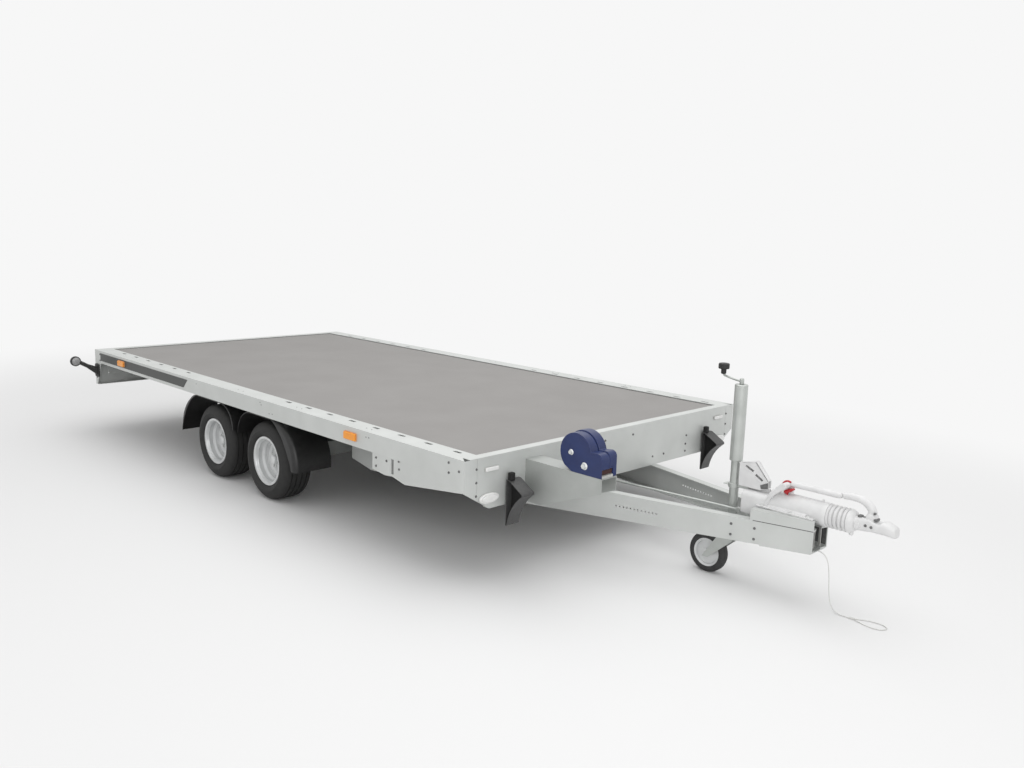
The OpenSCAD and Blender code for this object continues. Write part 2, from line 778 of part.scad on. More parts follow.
module lever_bracket() color([0.92, 0.92, 0.92]) {
    x0 = jockey_at + tube_r + 2;
    z0 = draw_z + relay_rise;
    xz(stay_t / 2, stay_t) difference() {
        polygon([[x0, tube_low], [x0, tube_low + 24], [x0 + 80, tube_low + 24],
            [x0 + 165, tube_low - 60], [x0 + 165, z0], [x0 + 60, z0],
            [x0 + 60, z0 + 18], [x0 + 12, tube_low - 80]]);
        for (k = [0, 1]) translate([x0 + 92 + 34 * k, tube_low - 16 - 34 * k]) rotate(-45)
            square([34, 12], center = true);
    }
}

module jockey_clamp() color([0.8, 0.8, 0.8]) {
    z = mount_top + clamp_rise;
    difference() {
        union() {
            translate([jockey_at, 0, z]) cylinder(r = stem_r + 7, h = 24);
            translate([jockey_at, -9, z + 6]) cube([tube_r + 62, 18, 12]);
        }
        translate([jockey_at, 0, z - 1]) cylinder(r = stem_r + stem_gap, h = 26);
    }
}

module jockey_tube() color([0.8, 0.81, 0.8]) {
    difference() {
        translate([jockey_at, 0, tube_low]) cylinder(r = tube_r, h = tube_top - tube_low);
        translate([jockey_at, 0, tube_low + 20]) cylinder(r = tube_r - tube_t, h = tube_top - tube_low - 26);
        translate([jockey_at, 0, tube_low - 1]) cylinder(r = stem_r + stem_gap, h = 30);
    }
}

module jockey_crank() color([0.3, 0.3, 0.3]) {
    knob_x = jockey_at - crank_reach;
    translate([jockey_at, 0, tube_top]) cylinder(r = 12, h = 24);
    translate([knob_x, 0, tube_top + 12]) rotate([0, 90, 0]) cylinder(r = 6, h = crank_reach);
    translate([knob_x, 0, tube_top + 6]) cylinder(r = 6, h = 40);
    translate([knob_x, 0, tube_top + 40]) cylinder(r = 15, h = knob_top - 66);
    translate([knob_x, 26, tube_top + knob_top - 26]) rotate([90, 0, 0])
        translate([-26, 0, 0]) cube([52, 26, 52]);
}

module jockey_stem() color([0.82, 0.83, 0.82]) {
    translate([jockey_at, 0, stem_low]) cylinder(r = stem_r, h = tube_low + stem_in - stem_low);
    translate([jockey_at, 0, fork_top - 24]) cylinder(r = 9, h = stem_low - fork_top + 24);
}

module jockey_fork() color([0.75, 0.76, 0.75]) {
    half = roller_w / 2 + fork_gap;
    difference() {
        union() {
            for (s = [-1, 1])
                xz(s > 0 ? half + fork_t : -half, fork_t)
                    polygon([[roller_x - 16, roller_z - 18], [roller_x + 16, roller_z - 18],
                        [jockey_at + 30, fork_top - 24], [jockey_at + 30, fork_top],
                        [jockey_at - 40, fork_top]]);
            translate([jockey_at - 40, -half, fork_top - fork_t]) cube([70, 2 * half, fork_t]);
        }
        translate([jockey_at, 0, fork_top - 30]) cylinder(r = 9 + stem_gap, h = 40);
        translate([roller_x, 0, roller_z]) rotate([90, 0, 0])
            cylinder(r = roller_pin, h = 200, center = true);
    }
    translate([roller_x, 0, roller_z]) rotate([90, 0, 0])
        cylinder(r = roller_pin, h = 2 * (half + fork_t), center = true);
}

module jockey_wheel() color([0.1, 0.1, 0.1])
    translate([roller_x, 0, roller_z]) rotate([90, 0, 0]) difference() {
        cylinder(r = roller_d / 2, h = roller_w, center = true);
        cylinder(r = roller_pin + 0.1, h = roller_w + 2, center = true);
    }

// Tapering box arm on the front panel
module winch_arm() color([0.77, 0.78, 0.77])
    difference() {
        xz(-winch_y + winch_w, winch_w)
            polygon([[panel_x, winch_top], [winch_tip, winch_top], [winch_tip, winch_top - winch_tip_h],
                [panel_x + 100, winch_top - winch_root_h], [panel_x, winch_top - winch_root_h]]);
        xz(-winch_y + winch_w - sheet, winch_w - 2 * sheet)
            polygon([[panel_x - 1, winch_top - sheet], [winch_tip + 1, winch_top - sheet],
                [winch_tip + 1, winch_top - winch_tip_h - 60],
                [panel_x + 100, winch_top - winch_root_h - 60],
                [panel_x - 1, winch_top - winch_root_h - 60]]);
    }

module winch_cover() color([0.18, 0.24, 0.46]) {
    xz(-winch_y + winch_w, winch_w) {
        intersection() {
            translate([drum_at, winch_top + drum_rise]) circle(r = drum_r);
            translate([drum_at - drum_r, winch_top]) square([2 * drum_r, 3 * drum_r]);
        }
        translate([drum_at - 20, winch_top]) square([winch_tip - drum_at + 20, gear_h - 24]);
        translate([drum_at, winch_top]) square([winch_tip - drum_at - 24, gear_h]);
        translate([winch_tip - 24, winch_top + gear_h - 24]) circle(r = 24);
    }
}

// Wedge standing on its toe, hollow face forward
module chock() {
    nose = [chock_reach, chock_nose];
    toe = [chock_toe, 8];
    mid = (nose + toe) / 2;
    chord = norm(nose - toe);
    out = [nose[1] - toe[1], toe[0] - nose[0]] / chord;
    centre = mid + out * sqrt(chock_r * chock_r - chord * chord / 4);
    translate([panel_x + holder_t, 0, beam_top - chock_drop]) xz(-chock_y + chock_w / 2, chock_w)
        difference() {
            union() {
                polygon([[0, 0], [0, chock_l], [18, chock_l], nose, toe, [toe[0] - 4, 0]]);
                translate([4, chock_l - 1]) square([26, 36]);
            }
            translate(centre) circle(r = chock_r);
        }
}

module wheel_chocks() color([0.12, 0.12, 0.12]) both() chock();

module chock_holders() color([0.7, 0.7, 0.7]) both()
    translate([panel_x, -chock_y - chock_w / 4, beam_top + 20])
        cube([holder_t, chock_w / 2, holder_h]);

module front_lamps() color([0.95, 0.95, 0.95]) both()
    yz(panel_x, front_lamp_t)
        translate([front_lamp_in - side_y, deck_h - front_lamp_drop])
            square([front_lamp_w, front_lamp_h], center = true);

module front_reflectors() color([0.95, 0.95, 0.95]) both()
    yz(panel_x, reflector_t)
        translate([reflector_in - side_y, deck_h - reflector_drop]) scale([1, reflector_h / reflector_w])
            circle(d = reflector_w);

module side_markers() color([0.93, 0.58, 0.25]) both()
    for (p = [[panel_x - marker_front, 0], [rear_x + marker_rear, strip_t]])
        translate([p[0] - marker_l / 2, -side_y - marker_t - p[1],
            deck_h - marker_drop - marker_h / 2]) cube([marker_l, marker_t, marker_h]);

module side_strips() color([0.27, 0.28, 0.27]) both()
    xz(-side_y, strip_t)
        polygon([[rear_x + rear_post_l + 2, deck_h - 18], [rear_x + rear_post_l + 2, deck_h - 18 - strip_h],
            [rear_x + rear_post_l + strip_l - strip_h, deck_h - 18 - strip_h],
            [rear_x + rear_post_l + strip_l, deck_h - 18]]);

module tail_lamps() color([0.7, 0.1, 0.1]) yz(rear_x, 30) tail_pocket(0);

module outline_arms() color([0.1, 0.1, 0.1]) both() {
    x = rear_x + outline_x;
    foot_z = outline_z - outline_foot_drop;
    translate([x - outline_foot_w / 2, -side_y - 14, foot_z - outline_foot_h / 2])
        cube([outline_foot_w, 14, outline_foot_h]);
    hull() {
        translate([x - 20, -side_y - 16, foot_z - 22]) cube([40, 4, 44]);
        translate([x, -side_y - outline_reach + outline_r - 3, outline_z - 8])
            cube([24, 8, 16], center = true);
    }
    translate([x, -side_y - outline_reach, outline_z]) rotate([0, 90, 0]) difference() {
        cylinder(r = outline_r, h = outline_t, center = true);
        cylinder(r = outline_r - 8, h = outline_t + 2, center = true);
    }
}

module outline_lenses() color([0.9, 0.9, 0.9]) both()
    translate([rear_x + outline_x, -side_y - outline_reach, outline_z]) rotate([0, 90, 0])
        cylinder(r = outline_r - 8.3, h = outline_t - 8, center = true);

// Arch outline about its axle: s is +1 for the front arch and -1 for the rear one
module arch(s, grow) {
    top = cross_low - guard_drop - grow;
    x_out = s * (guard_reach - grow);
    x_in = -s * (axle_gap / 2 - guard_between / 2 - grow);
    r = guard_r - grow;
    ri = guard_inner_r - grow;
    translate([min(x_out - s * r, x_in + s * ri), top - 200])
        square([abs(x_out - s * r - x_in - s * ri), 200]);
    intersection() {
        translate([x_out - s * r, top - r]) circle(r = r);
        translate([min(x_out, x_out - s * r), guard_end_z - grow * 10]) square([r, deck_h]);
    }
    intersection() {
        translate([x_in + s * ri, top - ri]) circle(r = ri);
        translate([min(x_in, x_in + s * ri), top - ri]) square([ri, 1000]);
    }
}

module guard_shell(k) {
    s = k == 0 ? 1 : -1;
    y1 = -side_y + guard_in + guard_w;
    translate([axle_x[k], 0, 0]) {
        difference() {
            xz(y1, guard_w) arch(s, 0);
            xz(y1 + 1, guard_w - guard_t + 1) arch(s, guard_t);
            xz(y1 + 1, guard_w + 2) arch(s, guard_lip);
            translate([-1000, -side_y - 10, 0]) cube([2000, guard_w + 40, guard_end_z]);
            translate([s > 0 ? -axle_gap / 2 - 100 : -60, -side_y - 10, 0])
                cube([axle_gap / 2 + 160, guard_w + 40, cross_low - guard_drop - guard_inner_r]);
        }
        translate([-cross_w / 2, y1 - guard_w * 0.7, cross_low - guard_drop])
            cube([cross_w, guard_w * 0.4, guard_drop]);
    }
}

module mudguard_right() color([0.12, 0.12, 0.12]) for (k = [0, 1]) guard_shell(k);
module mudguard_left() color([0.12, 0.12, 0.12]) mirror([0, 1, 0]) for (k = [0, 1]) guard_shell(k);

// Rubber torsion axle: square tube, pads on the chassis members, trailing arms and stub axles
module axle(x) {
    tube_x = x + arm_trail;
    tube_half = arm_y;
    translate([tube_x - axle_side / 2, -tube_half, axle_z - axle_side / 2])
        cube([axle_side, 2 * tube_half, axle_side]);
    both() {
        translate([tube_x - 60, -chassis_y, axle_z + axle_side / 2])
            cube([120, chassis_w, beam_top - axle_z - axle_side / 2]);
        xz(-arm_y, arm_t) hull() {
            translate([tube_x, axle_z]) circle(r = 40, $fn = 32);
            translate([x, wheel_z]) circle(r = 32, $fn = 32);
        }
        translate([x, -arm_y - arm_t, wheel_z]) rotate([90, 0, 0]) cylinder(r = stub_r, h = stub_l);
    }
}

module axle_front() color([0.72, 0.73, 0.72]) axle(axle_x[0]);
module axle_rear() color([0.72, 0.73, 0.72]) axle(axle_x[1]);

// Brake rod beside the jockey wheel, with its clevis on the relay housing
module brake_rod() color([0.8, 0.8, 0.8]) {
    from = [axle_x[0] + arm_trail + axle_side / 2, axle_z - 12];
    to = [housing_at - relay_l - 12, brake_rod_z];
    length = norm(to - from);
    difference() {
        translate([from[0], -brake_rod_y, from[1]]) rotate([0, 90 - asin((to[1] - from[1]) / length), 0])
            translate([0, 0, -10]) cylinder(r = brake_rod_r, h = length + 10);
        translate([from[0] - 50, -brake_rod_y - 20, from[1] - 30]) cube([50, 40, 60]);
    }
    translate([to[0] - 12, -brake_rod_y - 8, to[1] - 10]) cube([24, 16, 20]);
}

// Tyre section revolved: bead, sidewall, tread with rounded shoulders, hollow inside
module tyre(x, s) {
    r = tyre_d / 2;
    w = tyre_w / 2;
    seat = rim_d / 2 - bead;
    in = rim_w / 2 - 5;
    translate([x, s * tyre_mid, wheel_z]) rotate([90, 0, 0]) rotate_extrude($fn = 96)
        polygon([[seat, -in], [seat + bead + 1, -in], [seat + bead + 4, -in - 10],
            [r - 70, -w], [r - 42, -w], [r - 14, -w + 8], [r - 3, -w + 22], [r, -w + 40],
            [r, w - 40], [r - 3, w - 22], [r - 14, w - 8], [r - 42, w], [r - 70, w],
            [seat + bead + 4, in + 10], [seat + bead + 1, in], [seat, in], [seat, in - 9],
            [r - 24, w - 30], [r - 24, 30 - w], [seat, 9 - in]]);
}

// Rim with drop centre and disc, closed hub and brake drum; outward is +z before turning
module rim(x, s) {
    rf = rim_d / 2;
    seat = rf - bead;
    w = rim_w / 2;
    hub = -tyre_w / 2;
    translate([x, s * tyre_mid, wheel_z]) rotate([s > 0 ? -90 : 90, 0, 0]) rotate_extrude($fn = 96)
        polygon([[stub_r + stub_play, hub], [44, hub], [44, hub + 4], [drum_out, hub + 4],
            [drum_out, disc_at - 22], [62, disc_at - 22], [62, disc_at], [well_r - 4, disc_at],
            [well_r - 4, -34], [seat - 4, -46], [seat - 4, -w], [rf, -w], [rf, 5 - w], [seat, 5 - w],
            [seat, -46], [well_r, -34], [well_r, 24], [seat, 36], [seat, w - 5], [rf, w - 5],
            [rf, w], [seat - 4, w], [seat - 4, 36], [well_r - 4, 24], [well_r - 4, disc_at + 6],
            [54, disc_at + 12], [54, disc_at + 6], [34, disc_at + 6], [34, disc_at + 44],
            [28, disc_at + 52], [0, disc_at + 52], [0, stub_end + 2], [stub_r + stub_play, stub_end + 2]]);
}

module tyre_front_right() color([0.15, 0.15, 0.15]) tyre(axle_x[0], -1);
module tyre_front_left() color([0.15, 0.15, 0.15]) tyre(axle_x[0], 1);
module tyre_rear_right() color([0.15, 0.15, 0.15]) tyre(axle_x[1], -1);
module tyre_rear_left() color([0.15, 0.15, 0.15]) tyre(axle_x[1], 1);
module rim_front_right() color([0.75, 0.76, 0.77]) rim(axle_x[0], -1);
module rim_front_left() color([0.75, 0.76, 0.77]) rim(axle_x[0], 1);
module rim_rear_right() color([0.75, 0.76, 0.77]) rim(axle_x[1], -1);
module rim_rear_left() color([0.75, 0.76, 0.77]) rim(axle_x[1], 1);

// Tube swept along the cable's route, its rings turned with the route
module breakaway_cable() {
    last = len(CABLE) - 1;
    sides = 8;
    function along(k) = let(v = CABLE[min(k + 1, last)] - CABLE[max(k - 1, 0)]) v / norm(v);
    function across(k) = k == 0 ? [0, 1, 0]
        : let(v = across(k - 1), t = along(k), w = v - (v * t) * t) w / norm(w);
    points = [for (k = [0 : last]) let(u = across(k), w = cross(along(k), u))
        for (n = [0 : sides - 1]) CABLE[k] + cable_r * (cos(n * 360 / sides) * u + sin(n * 360 / sides) * w)];
    skin = [for (k = [0 : last - 1]) for (n = [0 : sides - 1])
        let(m = (n + 1) % sides, a = k * sides + n, b = k * sides + m, c = b + sides, d = a + sides)
            each [[a, c, b], [a, d, c]]];
    ends = [[for (n = [0 : sides - 1]) n], [for (n = [sides - 1 : -1 : 0]) last * sides + n]];
    color([0.85, 0.85, 0.83]) polyhedron(points, concat(skin, ends));
}

// Crimped sleeve that closes the cable's loop
module cable_ferrule() color([0.8, 0.8, 0.78])
    translate([CABLE[len(CABLE) - 1][0] - 2, -6 - ferrule_w / 2, 0.2])
        cube([ferrule_l, ferrule_w, 2 * cable_r + 2.4]);

deck_panel();
side_rail_right();
side_rail_left();
front_panel();
front_posts();
rear_panel();
rear_posts();
cross_members();
chassis_members();
side_brackets();
drawbar_beam_right();
drawbar_beam_left();
coupling_mount();
overrun_housing();
bellows();
coupling_head();
coupling_handle();
handbrake_lever();
lever_bracket();
jockey_clamp();
jockey_tube();
jockey_crank();
jockey_stem();
jockey_fork();
jockey_wheel();
winch_arm();
winch_cover();
wheel_chocks();
chock_holders();
front_lamps();
front_reflectors();
side_markers();
side_strips();
tail_lamps();
outline_arms();
outline_lenses();
mudguard_right();
mudguard_left();
axle_front();
axle_rear();
brake_rod();
tyre_front_right();
tyre_front_left();
tyre_rear_right();
tyre_rear_left();
rim_front_right();
rim_front_left();
rim_rear_right();
rim_rear_left();
breakaway_cable();
cable_ferrule();
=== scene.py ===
"""Platform trailer with V drawbar and winch: its looks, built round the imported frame.
Metres, +X forward to the coupling, +Y to the trailer's left, +Z up, floor at z = 0."""
import math

import bmesh
import bpy
from mathutils import Matrix, Vector


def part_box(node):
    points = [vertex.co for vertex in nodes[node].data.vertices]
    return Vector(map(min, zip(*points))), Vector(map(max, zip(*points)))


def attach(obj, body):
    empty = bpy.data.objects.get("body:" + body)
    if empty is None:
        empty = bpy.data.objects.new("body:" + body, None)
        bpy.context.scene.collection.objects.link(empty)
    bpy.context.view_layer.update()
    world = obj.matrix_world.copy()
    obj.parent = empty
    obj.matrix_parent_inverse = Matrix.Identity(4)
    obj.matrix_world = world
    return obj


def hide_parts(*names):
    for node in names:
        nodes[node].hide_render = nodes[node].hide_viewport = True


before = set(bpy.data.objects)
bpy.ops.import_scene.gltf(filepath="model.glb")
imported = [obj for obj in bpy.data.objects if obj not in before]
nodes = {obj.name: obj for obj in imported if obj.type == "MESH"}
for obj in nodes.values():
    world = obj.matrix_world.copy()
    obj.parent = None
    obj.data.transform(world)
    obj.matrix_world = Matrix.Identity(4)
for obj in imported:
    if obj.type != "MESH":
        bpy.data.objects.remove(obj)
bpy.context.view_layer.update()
scene = bpy.context.scene

# Camera
# Stands off the trailer's right front corner at eye height and looks down on the platform.
# Place, turn and lens are the photograph's, worked out from the bed's edges.
camera_place = Vector((4.327, -3.7575, 1.6655))
camera_heading = math.radians(45.0616)
camera_dip = math.radians(9.9886)
camera_roll = math.radians(1.7126)
camera_data = bpy.data.cameras.new("camera")
camera_data.sensor_width = 36.0
camera_data.lens = 32.42
camera = bpy.data.objects.new("camera", camera_data)
scene.collection.objects.link(camera)
look = Vector((-math.sin(camera_heading) * math.cos(camera_dip),
               math.cos(camera_heading) * math.cos(camera_dip), -math.sin(camera_dip)))
level = Vector((math.cos(camera_heading), math.sin(camera_heading), 0.0))
above = level.cross(look)
sideways = level * math.cos(camera_roll) + above * math.sin(camera_roll)
upright = above * math.cos(camera_roll) - level * math.sin(camera_roll)
turn = Matrix((sideways, upright, -look)).transposed()
camera.matrix_world = Matrix.Translation(camera_place) @ turn.to_4x4()
scene.camera = camera


# Breakaway cable
# Thin steel wire rope with a crimped sleeve that closes its loop. It leaves the tie plate at
# the drawbar's end, drops to the floor and lies there in a long narrow loop.
def coated(name, dark, light, grain, rough, metal=0.0, dent=0.0, dent_scale=60.0):
    """Surface with a soft mottle between two colours, uneven gloss and a fine unevenness."""
    material = bpy.data.materials.new(name)
    material.use_nodes = True
    tree = material.node_tree
    shader = tree.nodes["Principled BSDF"]
    shader.inputs["Metallic"].default_value = metal
    place = tree.nodes.new("ShaderNodeTexCoord")
    cloud = tree.nodes.new("ShaderNodeTexNoise")
    cloud.inputs["Scale"].default_value = grain
    cloud.inputs["Detail"].default_value = 5.0
    tree.links.new(place.outputs["Object"], cloud.inputs["Vector"])
    ramp = tree.nodes.new("ShaderNodeValToRGB")
    ramp.color_ramp.elements[0].position = 0.3
    ramp.color_ramp.elements[0].color = (*dark, 1.0)
    ramp.color_ramp.elements[1].position = 0.7
    ramp.color_ramp.elements[1].color = (*light, 1.0)
    tree.links.new(cloud.outputs["Fac"], ramp.inputs["Fac"])
    tree.links.new(ramp.outputs["Color"], shader.inputs["Base Color"])
    gloss = tree.nodes.new("ShaderNodeMapRange")
    gloss.inputs["To Min"].default_value = rough - 0.05
    gloss.inputs["To Max"].default_value = rough + 0.05
    tree.links.new(cloud.outputs["Fac"], gloss.inputs["Value"])
    tree.links.new(gloss.outputs["Result"], shader.inputs["Roughness"])
    if dent:
        pits = tree.nodes.new("ShaderNodeTexNoise")
        pits.inputs["Scale"].default_value = dent_scale
        pits.inputs["Detail"].default_value = 3.0
        tree.links.new(place.outputs["Object"], pits.inputs["Vector"])
        bump = tree.nodes.new("ShaderNodeBump")
        bump.inputs["Strength"].default_value = dent
        bump.inputs["Distance"].default_value = 0.001
        tree.links.new(pits.outputs["Fac"], bump.inputs["Height"])
        tree.links.new(bump.outputs["Normal"], shader.inputs["Normal"])
    return material


def dress(node, material):
    """Gives a carried-over node its finish."""
    nodes[node].data.materials.clear()
    nodes[node].data.materials.append(material)


def seat(piece, body, material, slot, *replaced):
    """Puts a piece on its body with its finish, in place of the nodes that it stands for."""
    if piece.name not in scene.collection.objects:
        scene.collection.objects.link(piece)
    if material and not piece.data.materials:
        piece.data.materials.append(material)
    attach(piece, body)
    if replaced:
        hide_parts(*replaced)
    return piece


wire_rope = coated("wire_rope", (0.52, 0.52, 0.50), (0.70, 0.70, 0.68), 400, 0.45, 0.4, 0.6, 900)
cable_route = [
    (2.524, 0, 0.259), (2.536, 0, 0.258), (2.550, 0, 0.253), (2.563, 0, 0.243),
    (2.573, -0.001, 0.227), (2.580, -0.002, 0.206), (2.585, -0.003, 0.180),
    (2.589, -0.004, 0.150), (2.592, -0.005, 0.118), (2.596, -0.006, 0.086),
    (2.602, -0.007, 0.056), (2.612, -0.008, 0.031), (2.628, -0.009, 0.013),
    (2.650, -0.009, 0.004), (2.676, -0.009, 0.0024), (2.706, -0.0085, 0.0024),
    (2.740, -0.016, 0.0024), (2.772, -0.027, 0.0024), (2.806, -0.032, 0.0024),
    (2.838, -0.026, 0.0024), (2.856, -0.009, 0.0024), (2.858, 0.009, 0.0024),
    (2.844, 0.026, 0.0024), (2.810, 0.033, 0.0024), (2.774, 0.028, 0.0024),
    (2.742, 0.013, 0.0024), (2.720, -0.001, 0.0024), (2.700, -0.0035, 0.0024),
]
cable_thickness = 0.004


def bent_line(name, knots, thickness, roundness, steps):
    """Round wire or bar bent smoothly through (x, y, z, share of its thickness) knots."""
    line = bpy.data.curves.new(name, "CURVE")
    line.dimensions = "3D"
    line.bevel_depth = thickness
    line.bevel_resolution = roundness
    line.use_fill_caps = True
    bend = line.splines.new("BEZIER")
    bend.bezier_points.add(len(knots) - 1)
    bend.resolution_u = steps
    for knot, (x, y, z, share) in zip(bend.bezier_points, knots):
        knot.co = (x, y, z)
        knot.radius = share
        knot.handle_left_type = "AUTO"
        knot.handle_right_type = "AUTO"
    return bpy.data.objects.new(name, line)


breakaway_wire = bent_line("breakaway_wire", [(x, y, z, 1.0) for x, y, z in cable_route], cable_thickness / 2, 3, 6)
seat(breakaway_wire, "chassis", wire_rope, "cable_wire", "breakaway_cable")
dress("cable_ferrule", wire_rope)

# Studio
# A wide pale floor that fades into a white surround, one broad soft box overhead and one from
# the front, so that the trailer stands on its own soft shadow.
floor_size = 60.0
floor_mesh = bpy.data.meshes.new("floor")
half = floor_size / 2
floor_mesh.from_pydata([(-half, -half, 0), (half, -half, 0), (half, half, 0), (-half, half, 0)], [],
                       [(0, 1, 2, 3)])
floor = bpy.data.objects.new("floor", floor_mesh)
scene.collection.objects.link(floor)
surround = (0.93, 0.93, 0.93)
floor_paint = bpy.data.materials.new("floor_paint")
floor_paint.use_nodes = True
tree = floor_paint.node_tree
shader = tree.nodes["Principled BSDF"]
shader.inputs["Base Color"].default_value = (0.74, 0.74, 0.74, 1.0)
shader.inputs["Roughness"].default_value = 0.9
glow = tree.nodes.new("ShaderNodeEmission")
glow.inputs["Color"].default_value = (*surround, 1.0)
glow.inputs["Strength"].default_value = 1.0
place = tree.nodes.new("ShaderNodeTexCoord")
squeezed = tree.nodes.new("ShaderNodeVectorMath")
squeezed.operation = "MULTIPLY"
squeezed.inputs[1].default_value = (0.6, 1.0, 1.0)
tree.links.new(place.outputs["Object"], squeezed.inputs[0])
distance = tree.nodes.new("ShaderNodeVectorMath")
distance.operation = "LENGTH"
tree.links.new(squeezed.outputs["Vector"], distance.inputs[0])
fade = tree.nodes.new("ShaderNodeMapRange")
fade.inputs["From Min"].default_value = 1.9
fade.inputs["From Max"].default_value = 4.6
fade.interpolation_type = "SMOOTHSTEP"
tree.links.new(distance.outputs["Value"], fade.inputs["Value"])
blend = tree.nodes.new("ShaderNodeMixShader")
tree.links.new(fade.outputs["Result"], blend.inputs["Fac"])
tree.links.new(shader.outputs["BSDF"], blend.inputs[1])
tree.links.new(glow.outputs["Emission"], blend.inputs[2])
tree.links.new(blend.outputs["Shader"], tree.nodes["Material Output"].inputs["Surface"])
floor_mesh.materials.append(floor_paint)

world = bpy.data.worlds.new("studio")
scene.world = world
world.use_nodes = True
tree = world.node_tree
fill = tree.nodes["Background"]
fill.inputs["Color"].default_value = (1.0, 1.0, 1.0, 1.0)
fill.inputs["Strength"].default_value = 0.76
backdrop = tree.nodes.new("ShaderNodeBackground")
backdrop.inputs["Color"].default_value = (*surround, 1.0)
backdrop.inputs["Strength"].default_value = 1.0
rays = tree.nodes.new("ShaderNodeLightPath")
seen = tree.nodes.new("ShaderNodeMath")
seen.operation = "MAXIMUM"
tree.links.new(rays.outputs["Is Camera Ray"], seen.inputs[0])
tree.links.new(rays.outputs["Is Transmission Ray"], seen.inputs[1])
shown = tree.nodes.new("ShaderNodeMath")
shown.operation = "MAXIMUM"
tree.links.new(seen.outputs["Value"], shown.inputs[0])
tree.links.new(rays.outputs["Is Glossy Ray"], shown.inputs[1])
choose = tree.nodes.new("ShaderNodeMixShader")
tree.links.new(shown.outputs["Value"], choose.inputs["Fac"])
tree.links.new(fill.outputs["Background"], choose.inputs[1])
tree.links.new(backdrop.outputs["Background"], choose.inputs[2])
tree.links.new(choose.outputs["Shader"], tree.nodes["World Output"].inputs["Surface"])


def soft_box(name, place, target, width, depth, power):
    """Large rectangular studio lamp that faces its target."""
    lamp = bpy.data.lights.new(name, "AREA")
    lamp.shape = "RECTANGLE"
    lamp.size = width
    lamp.size_y = depth
    lamp.energy = power
    holder = bpy.data.objects.new(name, lamp)
    scene.collection.objects.link(holder)
    holder.location = place
    holder.rotation_euler = (Vector(target) - Vector(place)).to_track_quat("-Z", "Y").to_euler()


soft_box("overhead_box", (0.2, 0.3, 5.0), (0, 0, 0), 8.0, 6.0, 185)
soft_box("front_box", (6.2, -4.2, 2.6), (0.5, 0, 0.4), 4.0, 3.0, 100)
scene.view_settings.view_transform = "Standard"

# Bed frame
# Rails, panels, posts and beams are folded or rolled from steel sheet, dipped in zinc after
# cutting, and bolted together. The zinc is pale grey and darker on the winch arm. The members
# and axles below the deck get a much darker copy of it as painted shade.
hot_dip = coated("hot_dip", (0.525, 0.54, 0.525), (0.575, 0.59, 0.575), 7, 0.46, 0.35, 0.12, 40)
for part in ("side_rail_right", "side_rail_left", "front_panel", "front_posts", "rear_panel", "rear_posts",
             "side_brackets", "drawbar_beam_right", "drawbar_beam_left", "coupling_mount"):
    dress(part, hot_dip)
# Dark copy of the zinc: painted shade on the members and axles under the deck.
underbed_painted_shade = coated("underbed_painted_shade", (0.20, 0.21, 0.20), (0.28, 0.29, 0.28), 7, 0.5, 0.3, 0.12, 40)
for part in ("cross_members", "chassis_members", "axle_front", "axle_rear"):
    dress(part, underbed_painted_shade)
aged_zinc = coated("aged_zinc", (0.36, 0.375, 0.36), (0.43, 0.445, 0.43), 7, 0.45, 0.35, 0.12, 40)
dress("winch_arm", aged_zinc)
panel_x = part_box("front_panel")[1].x
rear_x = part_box("rear_panel")[0].x
side_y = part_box("side_rail_left")[1].y
rail_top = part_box("side_rail_right")[1].z

# Deck board
# Film-faced birch plywood laid in the frame's lip, grey-brown, with a fine non-slip mesh
# pressed into the film.
deck_film = coated("deck_film", (0.222, 0.213, 0.205), (0.250, 0.241, 0.233), 3, 0.62)
tree = deck_film.node_tree
place = tree.nodes.new("ShaderNodeTexCoord")
mesh_print = tree.nodes.new("ShaderNodeTexVoronoi")
mesh_print.feature = "DISTANCE_TO_EDGE"
mesh_print.inputs["Scale"].default_value = 220.0
mesh_print.inputs["Randomness"].default_value = 0.1
tree.links.new(place.outputs["Object"], mesh_print.inputs["Vector"])
press = tree.nodes.new("ShaderNodeBump")
press.inputs["Strength"].default_value = 0.35
press.inputs["Distance"].default_value = 0.0006
tree.links.new(mesh_print.outputs["Distance"], press.inputs["Height"])
tree.links.new(press.outputs["Normal"], tree.nodes["Principled BSDF"].inputs["Normal"])
dress("deck_panel", deck_film)
deck_low, deck_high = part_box("deck_panel")

# Tyres
# Low wide trailer tyres, black rubber with plain sidewalls and four grooves round the tread.
# Each is mounted on its rim and turns with it.
tyre_rubber = coated("tyre_rubber", (0.012, 0.012, 0.012), (0.022, 0.022, 0.021), 30, 0.72, 0.0, 0.25, 300)


def middle(node):
    """Centre of a node's box."""
    low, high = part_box(node)
    return (low + high) / 2


def turned(name, outline, centre, heading, steps=96, crease=32.0):
    """Body of revolution: outline is (radius, distance along heading) all round its wall."""
    along = Vector(heading).normalized()
    u = along.orthogonal().normalized()
    w = along.cross(u)
    body = bmesh.new()
    rings = []
    for radius, distance in outline:
        if radius < 1e-6:
            rings.append([body.verts.new(along * distance)])
            continue
        rings.append([body.verts.new(along * distance + u * radius * math.cos(2 * math.pi * n / steps)
                                     + w * radius * math.sin(2 * math.pi * n / steps)) for n in range(steps)])
    for first, second in zip(rings, rings[1:] + rings[:1]):
        if len(first) == 1 and len(second) == 1:
            continue
        for n in range(steps):
            m = (n + 1) % steps
            corners = [first[0]] if len(first) == 1 else [first[n], first[m]]
            corners += [second[0]] if len(second) == 1 else [second[m], second[n]]
            body.faces.new(corners)
    return closed(body, name, centre, crease)


